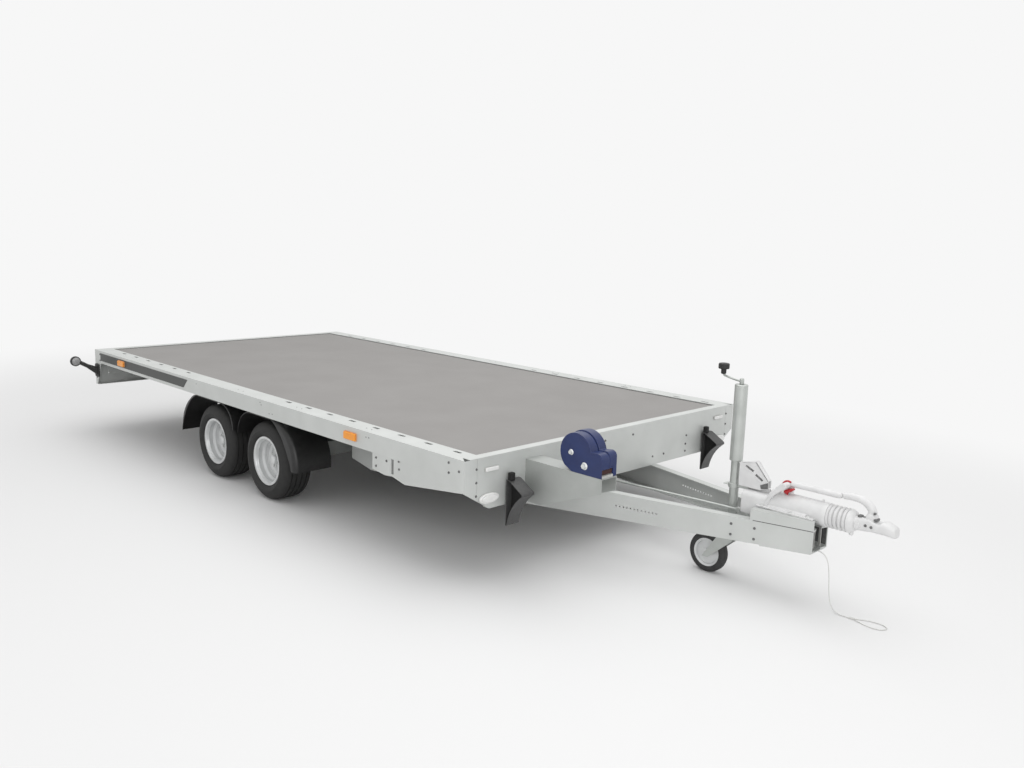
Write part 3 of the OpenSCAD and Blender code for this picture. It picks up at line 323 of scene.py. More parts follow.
def closed(body, name, centre=(0, 0, 0), crease=32.0):
    """Mesh object from a bmesh: faces outward, shaded smooth except across creases."""
    bmesh.ops.translate(body, verts=body.verts, vec=centre)
    bmesh.ops.recalc_face_normals(body, faces=body.faces)
    for face in body.faces:
        face.smooth = True
    for edge in body.edges:
        edge.smooth = edge.calc_face_angle(0.0) < math.radians(crease)
    mesh = bpy.data.meshes.new(name)
    body.to_mesh(mesh)
    body.free()
    return bpy.data.objects.new(name, mesh)


def arc(centre_u, centre_v, radius, start, stop, steps):
    """Points of an arc, in degrees."""
    return [(centre_u + radius * math.cos(math.radians(start + (stop - start) * n / steps)),
             centre_v + radius * math.sin(math.radians(start + (stop - start) * n / steps)))
            for n in range(steps + 1)]


wheels = [(axle + side, outward) for axle in ("front", "rear") for side, outward in (("_right", -1), ("_left", 1))]
for wheel, outward in wheels:
    low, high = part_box("tyre_" + wheel)
    radius = (high.z - low.z) / 2
    half_width = (high.y - low.y) / 2
    rim_low, rim_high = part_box("rim_" + wheel)
    flange = (rim_high.z - rim_low.z) / 2
    bead = flange - 0.0115
    groove = radius - 0.007
    shoulder = [(bead, 0.026), (flange + 0.003, 0.020), (flange + 0.010, 0.010), (flange + 0.020, 0.003),
                (flange + 0.034, 0.0), (radius - 0.052, 0.0015), (radius - 0.040, 0.004), (radius - 0.029, 0.009),
                (radius - 0.018, 0.015), (radius - 0.010, 0.022), (radius - 0.005, 0.030), (radius - 0.002, 0.040)]
    tread = [(radius - 0.001, 0.052), (groove, 0.0515), (groove, 0.0455), (radius - 0.0005, 0.045),
             (radius, 0.020), (groove, 0.0195), (groove, 0.0135), (radius, 0.013)]
    quarter = [(r, half_width - inward) for r, inward in shoulder] + tread
    outline = quarter + [(r, -y) for r, y in reversed(quarter)]
    outline += [(bead, -half_width + 0.034), (radius - 0.03, -half_width + 0.04),
                (radius - 0.03, half_width - 0.04), (bead, half_width - 0.034)]
    tyre = turned("tyre_body_" + wheel, outline, middle("tyre_" + wheel), (0, outward, 0), 128)
    seat(tyre, "wheel_" + wheel, tyre_rubber, "tyre_rubber", "tyre_" + wheel)

# Rims
# Pressed steel wheels in silver paint: rolled rim with drop centre, a stepped disc welded in,
# five wheel nuts round a capped hub, and the brake drum behind.
wheel_silver = coated("wheel_silver", (0.56, 0.57, 0.57), (0.66, 0.67, 0.67), 20, 0.36, 0.30, 0.08, 200)
for wheel, outward in wheels:
    low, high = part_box("rim_" + wheel)
    centre = middle("tyre_" + wheel)
    flange = (high.z - low.z) / 2
    rim_half = 0.084
    bead = flange - 0.012
    well = 0.122
    wall = 0.004
    outline = [
        (flange, rim_half), (flange + 0.0005, rim_half - 0.003), (flange - 0.002, rim_half - 0.006),
        (bead, rim_half - 0.006), (bead, 0.036), (well, 0.024), (well, -0.034), (bead, -0.046),
        (bead, -rim_half + 0.006), (flange, -rim_half + 0.006), (flange, -rim_half), (bead - wall, -rim_half),
        (bead - wall, -0.046), (well - wall, -0.034), (well - wall, -0.002), (0.100, 0.001), (0.094, -0.004),
        (0.076, -0.006), (0.066, 0.002), (0.030, 0.002), (0.030, 0.008), (0.068, 0.008), (0.078, 0.000),
        (0.093, 0.002), (0.100, 0.007), (well - wall - 0.003, 0.005), (well - wall, 0.012), (well - wall, 0.024),
        (bead - wall - 0.001, 0.036), (bead - wall - 0.001, 0.058), (bead - wall - 0.005, 0.064),
        (bead - wall - 0.001, 0.072), (bead - wall, rim_half - 0.004), (bead, rim_half),
    ]
    rim = turned("rim_shell_" + wheel, outline, centre, (0, outward, 0), 96, 40)
    seat(rim, "wheel_" + wheel, wheel_silver, "rim_silver", "rim_" + wheel)
    hub = turned("hub_" + wheel, [
        (0, 0.047), (0.018, 0.046), (0.026, 0.042), (0.029, 0.036), (0.029, 0.012), (0.036, 0.011), (0.038, 0.008),
        (0.038, 0.002), (0.062, 0.0015), (0.062, -0.020), (0.104, -0.020), (0.104, -0.094), (0.044, -0.094),
        (0.044, -0.100), (0, -0.100)], centre, (0, outward, 0), 64)
    seat(hub, "wheel_" + wheel, wheel_silver, "rim_silver")

# Plated fittings and side strips
# The jockey wheel's sliding tube and fork, the brake rod and the chock holders are zinc plated
# steel. A dark film is stuck along both rails.
plated = coated("plated", (0.42, 0.44, 0.42), (0.52, 0.54, 0.52), 12, 0.34, 0.5, 0.05, 80)
for part in ("jockey_stem", "jockey_fork", "brake_rod", "chock_holders"):
    dress(part, plated)
strip_film = coated("strip_film", (0.040, 0.043, 0.040), (0.050, 0.053, 0.050), 10, 0.45)
dress("side_strips", strip_film)

# Mudguards
# Arches moulded in black plastic, one over each wheel and open between them. The outer edge is
# rolled over in a wide round and carries a narrow skirt; each arch hangs under a cross member.
planes = {"xz": lambda u, v, w: (u, w, v), "yz": lambda u, v, w: (w, u, v), "xy": lambda u, v, w: (u, v, w)}


def walls(body, rings):
    """Faces between neighbouring rings of as many points."""
    for first, second in zip(rings, rings[1:]):
        for n in range(len(first)):
            m = (n + 1) % len(first)
            body.faces.new((first[n], first[m], second[m], second[n]))


def prism(name, outline, plane, start, depth, bevel=0.0, segments=2):
    """Plate of one outline: plane "xz" runs from y = start by depth, "yz" from x, "xy" from z."""
    body = bmesh.new()
    near = [body.verts.new(planes[plane](u, v, start)) for u, v in outline]
    far = [body.verts.new(planes[plane](u, v, start + depth)) for u, v in outline]
    body.faces.new(near)
    body.faces.new(far)
    walls(body, [near, far])
    piece = closed(body, name)
    if bevel:
        soften(piece, bevel, segments)
    return piece


def soften(piece, width, segments=2):
    """Rounds a piece's sharp edges."""
    edge = piece.modifiers.new("edge", "BEVEL")
    edge.width = width
    edge.segments = segments
    edge.limit_method = "ANGLE"
    edge.angle_limit = math.radians(30)
    edge.harden_normals = True


def made(piece):
    """Plain mesh object from a piece and its modifiers."""
    if piece.name not in scene.collection.objects:
        scene.collection.objects.link(piece)
    mesh = bpy.data.meshes.new_from_object(piece.evaluated_get(bpy.context.evaluated_depsgraph_get()))
    name = piece.name
    bpy.data.objects.remove(piece)
    mesh.name = name
    return bpy.data.objects.new(name, mesh)


def cut(piece, *cutters):
    """Cuts other solids out of a piece."""
    for cutter in cutters:
        scene.collection.objects.link(cutter)
        bite = piece.modifiers.new("bite", "BOOLEAN")
        bite.operation = "DIFFERENCE"
        bite.solver = "EXACT"
        bite.object = cutter
    result = made(piece)
    for cutter in cutters:
        bpy.data.objects.remove(cutter)
    return result


def joined(name, *pieces):
    """One object from several meshes."""
    body = bmesh.new()
    for piece in pieces:
        whole = made(piece)
        body.from_mesh(whole.data)
        bpy.data.objects.remove(whole)
    mesh = bpy.data.meshes.new(name)
    body.to_mesh(mesh)
    body.free()
    return bpy.data.objects.new(name, mesh)


def slab(name, low, high, bevel=0.0, segments=2):
    """Rectangular block between two corners."""
    outline = [(low[0], low[1]), (high[0], low[1]), (high[0], high[1]), (low[0], high[1])]
    return prism(name, outline, "xy", low[2], high[2] - low[2], bevel, segments)


guard_low, guard_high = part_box("mudguard_right")
guard_top = guard_high.z - 0.009
guard_wall = 0.004


def guard_section(roll, skirt):
    """Wall of a mudguard across its width: (distance from its inner edge, depth below its crown)."""
    width = guard_high.y - guard_low.y
    outer = [(0.0, 0.0)] + [(width - roll + y, roll - z) for z, y in arc(0, 0, roll, 0, 90, 8)] + [(width, skirt)]
    inner_roll = roll - guard_wall
    inner = [(0.0, guard_wall)] + [(width - roll + y, roll - z) for z, y in arc(0, 0, inner_roll, 0, 90, 8)]
    return outer + [(width - guard_wall, skirt)] + inner[::-1]


def skirt_depth(table, angle):
    """Depth of a guard's skirt at an angle round its outer quarter, from (angle, depth) pairs."""
    for (a0, d0), (a1, d1) in zip(table, table[1:]):
        if angle <= a1:
            return d0 + (d1 - d0) * (angle - a0) / (a1 - a0)
    return table[-1][1]


outer_bend, inner_bend = 0.250, 0.150
inner_centre = 0.132
widest_roll = 0.030


def mudguard(side, way, axle_x, reach, table):
    """One arch: quarter round outside, flat crown, smaller quarter round towards the other wheel."""
    far, near = axle_x + way * (reach - outer_bend), axle_x - way * inner_centre
    stations = []
    for n in range(21):
        angle = -5 + 95 * n / 20
        lean = math.radians(angle)
        stations.append((far, outer_bend, way * math.cos(lean), math.sin(lean), angle))
    for n in range(11):
        lean = math.radians(90 * n / 10)
        stations.append((near, inner_bend, -way * math.sin(lean), math.cos(lean), 90))
    body = bmesh.new()
    rings = []
    for centre_x, bend, out_x, out_z, angle in stations:
        skirt = skirt_depth(table, angle)
        rings.append([body.verts.new((centre_x + (bend - depth) * out_x, side * (guard_inner + y),
                                      guard_top - bend + (bend - depth) * out_z))
                      for y, depth in guard_section(min(widest_roll, skirt - 0.001), skirt)])
    walls(body, rings)
    body.faces.new(rings[0])
    body.faces.new(rings[-1])
    return closed(body, "guard_arch", crease=40)


guard_inner = side_y - 0.012 - (guard_high.y - guard_low.y)
guard_black = coated("guard_black", (0.007, 0.007, 0.007), (0.013, 0.013, 0.013), 40, 0.42, 0.0, 0.2, 350)
for side, name in ((-1, "right"), (1, "left")):
    arches = []
    for way, axle, reach, table in (
            (1, "front", 0.362, ((-5, 0.042), (19, 0.067), (41, 0.069), (68, 0.0455), (90, 0.0055))),
            (-1, "rear", 0.418, ((-5, 0.021), (27, 0.041), (52, 0.036), (84, 0.0055), (90, 0.0055)))):
        axle_x = middle("tyre_%s_right" % axle).x
        pad_y = side * (guard_inner + 0.120)
        arches.append(mudguard(side, way, axle_x, reach, table))
        arches.append(slab("guard_pad", (axle_x - 0.030, pad_y - 0.048, guard_top - 0.001),
                           (axle_x + 0.030, pad_y + 0.048, guard_high.z), 0.002))
    seat(joined("mudguard_arches_" + name, *arches), "chassis", guard_black, "black_plastic", "mudguard_" + name)

# Deck seal
# Black sealing compound fills the joint between the board's edge and the frame all round and
# stands a little proud of the board.
sealant = coated("sealant", (0.020, 0.020, 0.020), (0.034, 0.034, 0.034), 60, 0.7, 0.0, 0.3, 200)
bead_w, bead_low, bead_top = 0.007, deck_high.z - 0.004, deck_high.z + 0.0012
joint = 0.003
beads = []
for side in (-1, 1):
    edge = side * (deck_high.y + joint)
    beads.append(slab("bead", (deck_low.x - joint, edge - (bead_w + joint) * max(side, 0), bead_low),
                      (deck_high.x + joint, edge + (bead_w + joint) * max(-side, 0), bead_top), 0.001))
for x in (deck_low.x - joint, deck_high.x - bead_w):
    beads.append(slab("bead", (x, deck_low.y + bead_w, bead_low),
                      (x + bead_w + joint, deck_high.y - bead_w, bead_top), 0.001))
seat(joined("deck_seal", *beads), "chassis", sealant, "black_plastic")

# Winch cover
# Two blue enamelled half shells round the drum and its gears, parted by a groove, bolted to
# the arm. The strap leaves by the slot low in front, over a bright lead plate.
arm_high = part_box("winch_arm")[1]
cover_low, cover_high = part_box("winch_cover")
drum_radius = 0.092
drum_x = panel_x + 0.309
drum_z = arm_high.z + 0.090
front_x = arm_high.x - 0.0015
mid_y = (cover_low.y + cover_high.y) / 2


def cover_outline(grow):
    """Side view of the winch cover: drum and gear housing in one line."""
    reach = drum_radius + grow
    neck = math.degrees(math.asin((0.0205 + grow * 0.4) / reach))
    return ([(drum_x - 0.019, arm_high.z), (front_x, arm_high.z)]
            + arc(front_x - 0.027, arm_high.z + 0.0835 + grow, 0.027, 0, 90, 6)
            + arc(drum_x, drum_z, reach, neck, 228, 40))


mouth = ((front_x - 0.05, cover_low.y + 0.0035, arm_high.z - 0.01),
         (front_x + 0.02, mid_y + 0.028, arm_high.z + 0.040))
halves = []
for name, y0, y1, grow in (("winch_near_half", cover_low.y, mid_y - 0.0008, 0.0),
                           ("winch_far_half", mid_y + 0.0008, cover_high.y, 0.0055)):
    shell = cut(prism(name, cover_outline(grow), "xz", y0, y1 - y0), slab("mouth", *mouth))
    soften(shell, 0.005, 3)
    halves.append(shell)
core = cut(prism("winch_groove", [(x - 0.002, z - 0.0005) for x, z in cover_outline(-0.006)],
                 "xz", mid_y - 0.004, 0.008), slab("mouth", *mouth))
winch_enamel = coated("winch_enamel", (0.008, 0.018, 0.086), (0.011, 0.025, 0.110), 14, 0.36, 0.0, 0.05, 60)
seat(joined("winch_shell", *halves, core), "chassis", winch_enamel, "winch_blue", "winch_cover")

lead_steel = coated("lead_steel", (0.46, 0.46, 0.44), (0.58, 0.58, 0.56), 40, 0.4, 0.5, 0.05, 80)
lead_line = [(-0.045, 0.0005), (0.0005, 0.0005), (0.0005, 0.013), (-0.010, 0.0155), (-0.045, 0.0155)]
lead_plate = prism("winch_lead_plate", [(front_x + x, arm_high.z + z) for x, z in lead_line],
                   "xz", cover_low.y + 0.0042, 0.076, 0.001)
seat(lead_plate, "chassis", lead_steel, "galvanised_steel")
strap_brown = coated("strap_brown", (0.030, 0.010, 0.009), (0.055, 0.018, 0.015), 90, 0.8)
strap_coil = slab("winch_strap_coil", (front_x - 0.049, cover_low.y + 0.0042, arm_high.z + 0.0158),
                  (front_x - 0.006, mid_y + 0.0278, arm_high.z + 0.0395), 0.004)
seat(strap_coil, "chassis", strap_brown, "black_plastic")


# Screws and nuts
# Flanged hexagon heads hold the panels, brackets, beams and fittings together and sit flat on
# the sheet: bright zinc on the winch, coupling and wheels, small on the frame, where their near-black
# grey is painted shade.
def screw_tree(name, across, height, flange, material):
    """Node tree that seats a flanged hexagon head on each point, facing along its normal."""
    group = bpy.data.node_groups.new(name, "GeometryNodeTree")
    group.interface.new_socket("Geometry", in_out="INPUT", socket_type="NodeSocketGeometry")
    sizes = {}
    for label, value in (("Across flats", across), ("Head height", height), ("Flange radius", flange)):
        socket = group.interface.new_socket(label, in_out="INPUT", socket_type="NodeSocketFloat")
        socket.default_value = value
        sizes[label] = socket.identifier
    group.interface.new_socket("Geometry", in_out="OUTPUT", socket_type="NodeSocketGeometry")
    given = group.nodes.new("NodeGroupInput")
    result = group.nodes.new("NodeGroupOutput")
    link = group.links.new
    shares = []
    for label, factor in (("Across flats", 0.577), ("Head height", 0.4), ("Head height", 0.5)):
        share = group.nodes.new("ShaderNodeMath")
        share.operation = "MULTIPLY"
        share.inputs[1].default_value = factor
        link(given.outputs[label], share.inputs[0])
        shares.append(share.outputs["Value"])
    corner, thin, half = shares
    head = group.nodes.new("GeometryNodeMeshCylinder")
    head.inputs["Vertices"].default_value = 6
    link(corner, head.inputs["Radius"])
    link(given.outputs["Head height"], head.inputs["Depth"])
    washer = group.nodes.new("GeometryNodeMeshCone")
    washer.inputs["Vertices"].default_value = 16
    link(given.outputs["Flange radius"], washer.inputs["Radius Bottom"])
    link(corner, washer.inputs["Radius Top"])
    link(thin, washer.inputs["Depth"])
    lift = group.nodes.new("ShaderNodeCombineXYZ")
    link(half, lift.inputs["Z"])
    raised = group.nodes.new("GeometryNodeTransform")
    link(head.outputs["Mesh"], raised.inputs["Geometry"])
    link(lift.outputs["Vector"], raised.inputs["Translation"])
    both = group.nodes.new("GeometryNodeJoinGeometry")
    link(raised.outputs["Geometry"], both.inputs["Geometry"])
    link(washer.outputs["Mesh"], both.inputs["Geometry"])
    facing = group.nodes.new("GeometryNodeInputNamedAttribute")
    facing.data_type = "FLOAT_VECTOR"
    facing.inputs["Name"].default_value = "facing"
    aim = group.nodes.new("FunctionNodeAlignEulerToVector")
    aim.axis = "Z"
    link(facing.outputs["Attribute"], aim.inputs["Vector"])
    spots = group.nodes.new("GeometryNodeInstanceOnPoints")
    link(given.outputs["Geometry"], spots.inputs["Points"])
    link(both.outputs["Geometry"], spots.inputs["Instance"])
    link(aim.outputs["Rotation"], spots.inputs["Rotation"])
    real = group.nodes.new("GeometryNodeRealizeInstances")
    link(spots.outputs["Instances"], real.inputs["Geometry"])
    finish = group.nodes.new("GeometryNodeSetMaterial")
    finish.inputs["Material"].default_value = material
    link(real.outputs["Geometry"], finish.inputs["Geometry"])
    link(finish.outputs["Geometry"], result.inputs["Geometry"])
    return group, sizes


zinc_screw = coated("zinc_screw", (0.62, 0.63, 0.62), (0.74, 0.75, 0.74), 60, 0.38, 0.4)
# Near-black grey as painted shade, for the frame's heads and rivets and behind the bracket slots.
dark_painted_shade = coated("dark_painted_shade", (0.10, 0.10, 0.10), (0.17, 0.17, 0.17), 60, 0.5, 0.4)
frame_size = (0.008, 0.004, 0.0065)
bright_heads = screw_tree("bright_heads", 0.013, 0.006, 0.011, zinc_screw)
shade_dark_heads = screw_tree("shade_dark_heads", *frame_size, dark_painted_shade)


def screws(name, body, spots, across=0.013, height=0.006, flange=0.011, slot="zinc_plate", kind=bright_heads):
    """Heads at the given (place, direction) pairs, as one plain mesh on a body."""
    points = bpy.data.meshes.new(name)
    points.from_pydata([place for place, _ in spots], [], [])
    facing = points.attributes.new("facing", "FLOAT_VECTOR", "POINT")
    for item, (_, direction) in zip(facing.data, spots):
        item.vector = direction
    holder = bpy.data.objects.new(name, points)
    setter = holder.modifiers.new("heads", "NODES")
    setter.node_group, sizes = kind
    for label, value in (("Across flats", across), ("Head height", height), ("Flange radius", flange)):
        setter[sizes[label]] = value
    seat(made(holder), body, None, slot)


right, left, ahead, up = (0, -1, 0), (0, 1, 0), (1, 0, 0), (0, 0, 1)
post_heads = []
for side in (-1, 1):
    outward = (0, side, 0)
    post_heads += [((panel_x, side * 1.021, z), ahead) for z in (0.561, 0.498, 0.435)]
    post_heads += [((panel_x + x, side * side_y, z), outward)
                   for x, z in ((-0.106, 0.5835), (-0.1045, 0.537), (-0.035, 0.556))]
    post_heads += [((rear_x + x, side * side_y, z), outward)
                   for x, z in ((0.095, 0.584), (0.095, 0.537), (0.030, 0.400))]
    post_heads += [((panel_x + x, side * (side_y - 0.002), z), outward)
                   for x, z in ((-0.656, 0.494), (-0.656, 0.452), (-0.571, 0.494), (-0.474, 0.511),
                                (-0.471, 0.472))]
    post_heads += [((panel_x, side * y, z), ahead)
                   for y, z in ((0.116, 0.561), (0.404, 0.410), (0.611, 0.394))]
post_heads += [((panel_x, y, z), ahead) for y, z in ((0.302, 0.410), (0.611, 0.436), (0.616, 0.485))]
screws("frame_screws", "chassis", post_heads, *frame_size, kind=shade_dark_heads)
rivets = []
for side in (-1, 1):
    rivets += [((panel_x + x, side * side_y, z), (0, side, 0))
               for x, z in ((-2.571, 0.585), (-1.774, 0.593), (-1.762, 0.580), (-1.674, 0.543), (-1.640, 0.545),
                            (-0.739, 0.582), (-0.715, 0.583))]
    rivets += [((panel_x + x, side * 1.049, rail_top), up)
               for x in (-2.112, -2.051, -1.454, -1.403, -0.798, -0.753)]
screws("rail_rivets", "chassis", rivets, 0.004, 0.0012, 0.0038, kind=shade_dark_heads)
# A thin dark sheet behind each slot in the side brackets is painted shade in the slot.
shade_y = side_y - 0.0038
slot_shades = [slab("slot_shade", (panel_x - 0.526, side * shade_y - 0.0009, 0.438),
                    (panel_x - 0.516, side * shade_y + 0.0009, 0.511)) for side in (-1, 1)]
seat(joined("bracket_slot_shades", *slot_shades), "chassis", dark_painted_shade, "black_plastic")
screws("winch_near_nut", "chassis", [((panel_x + 0.284, cover_low.y, 0.650), right)], 0.016, 0.010, 0.0135)
screws("winch_gear_nut", "chassis", [((panel_x + 0.365, cover_low.y, 0.601), right)], 0.021, 0.011, 0.0175)
nut_circle = arc(0, 0, 0.056, 18, 306, 4)
for wheel, outward in wheels:
    hub_at = middle("tyre_" + wheel) + Vector((0, outward * 0.008, 0))
    spots = [(hub_at + Vector((x, 0, z)), (0, outward, 0)) for x, z in nut_circle]
    screws("wheel_nuts_" + wheel, "wheel_" + wheel, spots, 0.017, 0.013, 0.012, "rim_silver")

# Wheel chocks
# Two moulded black chocks stand on the front panel in their holders, toe down: a thick rim
# round the wedge's outline with a web in its middle, hollow face forward.
chock_low, chock_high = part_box("wheel_chocks")
chock_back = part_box("chock_holders")[1].x
toe_z = chock_low.z
chock_outline = ([(0.0, 0.0), (0.008, 0.0)] + arc(0.2485, -0.0331, 0.240, 170.1, 127.9, 12)
                 + [(0.1020, 0.1570), (0.1055, 0.1600), (0.1050, 0.1680), (0.1010, 0.1730),
                    (0.018, 0.222), (0.0, 0.222)])
chock_grey = coated("chock_grey", (0.050, 0.050, 0.050), (0.072, 0.072, 0.072), 60, 0.5, 0.0, 0.2, 350)
chock_painted_shade = coated("chock_painted_shade", (0.003, 0.003, 0.003), (0.006, 0.006, 0.006), 60, 0.8, 0.0, 0.2, 350)


def inset(outline, distance):
    """The outline moved inward by a distance, for walls of even thickness."""
    count = len(outline)
    result = []
    for n in range(count):
        a, b, c = (Vector(outline[(n + k) % count]) for k in (-1, 0, 1))
        first = (b - a).normalized()
        second = (c - b).normalized()
        normal = Vector((-first.y, first.x)) + Vector((-second.y, second.x))
        normal.normalize()
        lean = max(0.35, normal.dot(Vector((-first.y, first.x))))
        result.append(tuple(b + normal * (distance / lean)))
    return result


def rim_wall(name, outline, inner, plane, start, depth):
    """Wall between an outline and an inner one of as many points."""
    body = bmesh.new()
    loops = [[body.verts.new(planes[plane](u, v, w)) for u, v in line]
             for line, w in ((outline, start), (outline, start + depth), (inner, start + depth), (inner, start))]
    walls(body, loops + loops[:1])
    return closed(body, name)


for side in (-1, 1):
    chock_y = side * 0.800
    line = [(chock_back + x, toe_z + z) for x, z in chock_outline]
    wall = rim_wall("chock_wall", line, inset(line, 0.0035), "xz", chock_y - 0.040, 0.080)
    nub = slab("chock_nub", (chock_back + 0.004, chock_y - 0.036, toe_z + 0.219),
               (chock_back + 0.028, chock_y - 0.008, chock_high.z), 0.004, 3)
    name = "chock_right" if side < 0 else "chock_left"
    seat(joined(name, wall), "chassis", chock_grey, "black_plastic", "wheel_chocks")
    # The web and the nub take a near-black copy of the grey moulding: painted shade in the hollow.
    web = prism("chock_web", inset(line, 0.003), "xz", chock_y - 0.006, 0.012)
    seat(joined(name + "_web", web, nub), "chassis", chock_painted_shade, "black_plastic")

# Front lamps and reflectors
# White position lamps and oval clear reflectors, moulded lenses on low bases, screwed to the
# front panel outside the chocks.
def rounded_rectangle(width, height, radius, steps=5):
    """Outline of a rectangle with rounded corners about its middle."""
    u, v = width / 2 - radius, height / 2 - radius
    return (arc(u, v, radius, 0, 90, steps) + arc(-u, v, radius, 90, 180, steps)
            + arc(-u, -v, radius, 180, 270, steps) + arc(u, -v, radius, 270, 360, steps))


def shifted(outline, du, dv):
    """The outline moved in its plane."""
    return [(u + du, v + dv) for u, v in outline]


def oval(u, v, half_width, half_height, steps=40):
    """Outline of an ellipse about a point."""
    angles = [2 * math.pi * n / steps for n in range(steps)]
    return [(u + half_width * math.cos(a), v + half_height * math.sin(a)) for a in angles]


white_lens = coated("white_lens", (0.66, 0.66, 0.65), (0.74, 0.74, 0.73), 50, 0.18, 0.0, 0.1, 400)
lamp_z, reflector_z = middle("front_lamps").z + 0.002, middle("front_reflectors").z
lamp_parts, base_parts = [], []
for side in (-1, 1):
    lamp_y, reflector_y = side * 0.930, side * 0.945
    base_parts.append(prism("lamp_base", shifted(rounded_rectangle(0.084, 0.021, 0.005), lamp_y, lamp_z),
                            "yz", panel_x, 0.003, 0.001))
    lamp_parts.append(prism("lamp_lens", shifted(rounded_rectangle(0.082, 0.019, 0.005), lamp_y, lamp_z),
                            "yz", panel_x + 0.003, 0.009, 0.004, 3))
    lamp_parts.append(prism("reflector_body", oval(reflector_y, reflector_z, 0.0605, 0.0245),
                            "yz", panel_x, 0.014, 0.005, 3))
    lamp_parts.append(prism("reflector_lens", oval(reflector_y, reflector_z, 0.048, 0.0165),
                            "yz", panel_x + 0.012, 0.0075, 0.003, 3))
seat(joined("front_lamp_lenses", *lamp_parts), "chassis", white_lens, "white_lens",
     "front_lamps", "front_reflectors")
seat(joined("front_lamp_bases", *base_parts), "chassis", lead_steel, "zinc_plate")

# Side markers
# Amber lenses on thin bases along both rails, the rear ones on the dark strip.
amber_lens = coated("amber_lens", (0.80, 0.28, 0.02), (0.86, 0.34, 0.04), 50, 0.22, 0.0, 0.1, 400)
marker_z = middle("side_markers").z
lenses, frames = [], []
for side in (-1, 1):
    for x, on in ((panel_x - 0.870, side_y), (rear_x + 0.503, side_y + 0.002)):
        line = shifted(rounded_rectangle(0.105, 0.043, 0.006), x, marker_z)
        frames.append(prism("marker_frame", line, "xz", side * on, side * 0.005, 0.001))
        line = shifted(rounded_rectangle(0.099, 0.038, 0.006), x, marker_z)
        lenses.append(prism("marker_lens", line, "xz", side * (on + 0.004), side * 0.0098, 0.0035, 3))
seat(joined("side_marker_lenses", *lenses), "chassis", amber_lens, "amber_lens", "side_markers")
marker_frame = coated("marker_frame", (0.70, 0.30, 0.10), (0.78, 0.36, 0.14), 50, 0.4)
seat(joined("side_marker_frames", *frames), "chassis", marker_frame, "amber_lens")

# Tail lamps
# Three-part lenses in the rear panel's cut-outs, red outside, amber and white inboard, in a
# shallow zinc-grey housing.
red_lens = coated("red_lens", (0.42, 0.012, 0.012), (0.52, 0.02, 0.02), 50, 0.2, 0.0, 0.1, 400)
tail_z = middle("tail_lamps").z
tail_width = 0.240
reds, ambers, whites, housings = [], [], [], []
for side in (-1, 1):
    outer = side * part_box("tail_lamps")[1].y
    line = shifted(rounded_rectangle(tail_width, 0.120, 0.008), outer - side * tail_width / 2, tail_z)
    housings.append(prism("tail_housing", line, "yz", rear_x + 0.0005, 0.006, 0.001))
    for group, start, width in ((reds, 0.006, 0.112), (ambers, 0.120, 0.068), (whites, 0.190, 0.044)):
        line = shifted(rounded_rectangle(width, 0.108, 0.006), outer - side * (start + width / 2), tail_z)
        group.append(prism("tail_lens", line, "yz", rear_x - 0.004, 0.006, 0.002))
seat(joined("tail_housings", *housings), "chassis", hot_dip, "black_plastic", "tail_lamps")
seat(joined("tail_red", *reds), "chassis", red_lens, "red_lens")
seat(joined("tail_amber", *ambers), "chassis", amber_lens, "amber_lens")
seat(joined("tail_white", *whites), "chassis", white_lens, "white_lens")

# Outline lamps
# Round lamps in black rubber on tapering rubber arms that lean out beyond the bed, white to the
# front and red to the rear, each arm moulded to a flat foot on the rear post.
arm_x = middle("outline_arms").x
disc_y = -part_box("outline_lenses")[0].y - 0.0247
disc_z = middle("outline_lenses").z
foot_z = disc_z - 0.081
ring_line = [(0.029, 0.0125), (0.0325, 0.014), (0.0358, 0.012), (0.037, 0.008), (0.037, -0.008), (0.0358, -0.012),
             (0.0325, -0.014), (0.029, -0.0125)]
dome_line = [(0, 0.0215), (0.011, 0.0205), (0.021, 0.0175), (0.0300, 0.0125), (0.0300, 0.001), (0, 0.001)]
rubber_parts, front_glass, rear_glass = [], [], []
for side in (-1, 1):
    rubber_parts.append(prism("arm_foot", shifted(rounded_rectangle(0.072, 0.100, 0.014), arm_x, foot_z), "xz",
                              side * side_y, side * 0.010, 0.003, 3))
    rubber_parts.append(prism("arm_boss", shifted(rounded_rectangle(0.048, 0.066, 0.012), arm_x, foot_z), "xz",
                              side * (side_y + 0.008), side * 0.010, 0.004, 3))
    start = Vector((arm_x, side * (side_y + 0.012), disc_z - 0.080))
    stem = Vector((arm_x, side * (disc_y - 0.026), disc_z - 0.008)) - start
    rubber_parts.append(turned("arm_stem", [(0, 0), (0.026, 0), (0.021, 0.035), (0.0145, 0.075),
                                            (0.0150, stem.length), (0, stem.length)], start, stem, 24))
    disc = (arm_x, side * disc_y, disc_z)
    rubber_parts.append(turned("lamp_ring", ring_line, disc, ahead, 48))
    front_glass.append(turned("lamp_dome", dome_line, disc, ahead, 40))
    rear_glass.append(turned("lamp_dome", dome_line, disc, (-1, 0, 0), 40))
lamp_rubber = coated("lamp_rubber", (0.012, 0.012, 0.012), (0.026, 0.026, 0.026), 60, 0.62, 0.0, 0.2, 300)
seat(joined("outline_rubber", *rubber_parts), "chassis", lamp_rubber, "black_plastic", "outline_arms")
lamp_glass = coated("lamp_glass", (0.26, 0.26, 0.26), (0.32, 0.32, 0.32), 90, 0.12)
seat(joined("outline_white", *front_glass), "chassis", lamp_glass, "white_lens", "outline_lenses")
seat(joined("outline_red", *rear_glass), "chassis", red_lens, "red_lens")

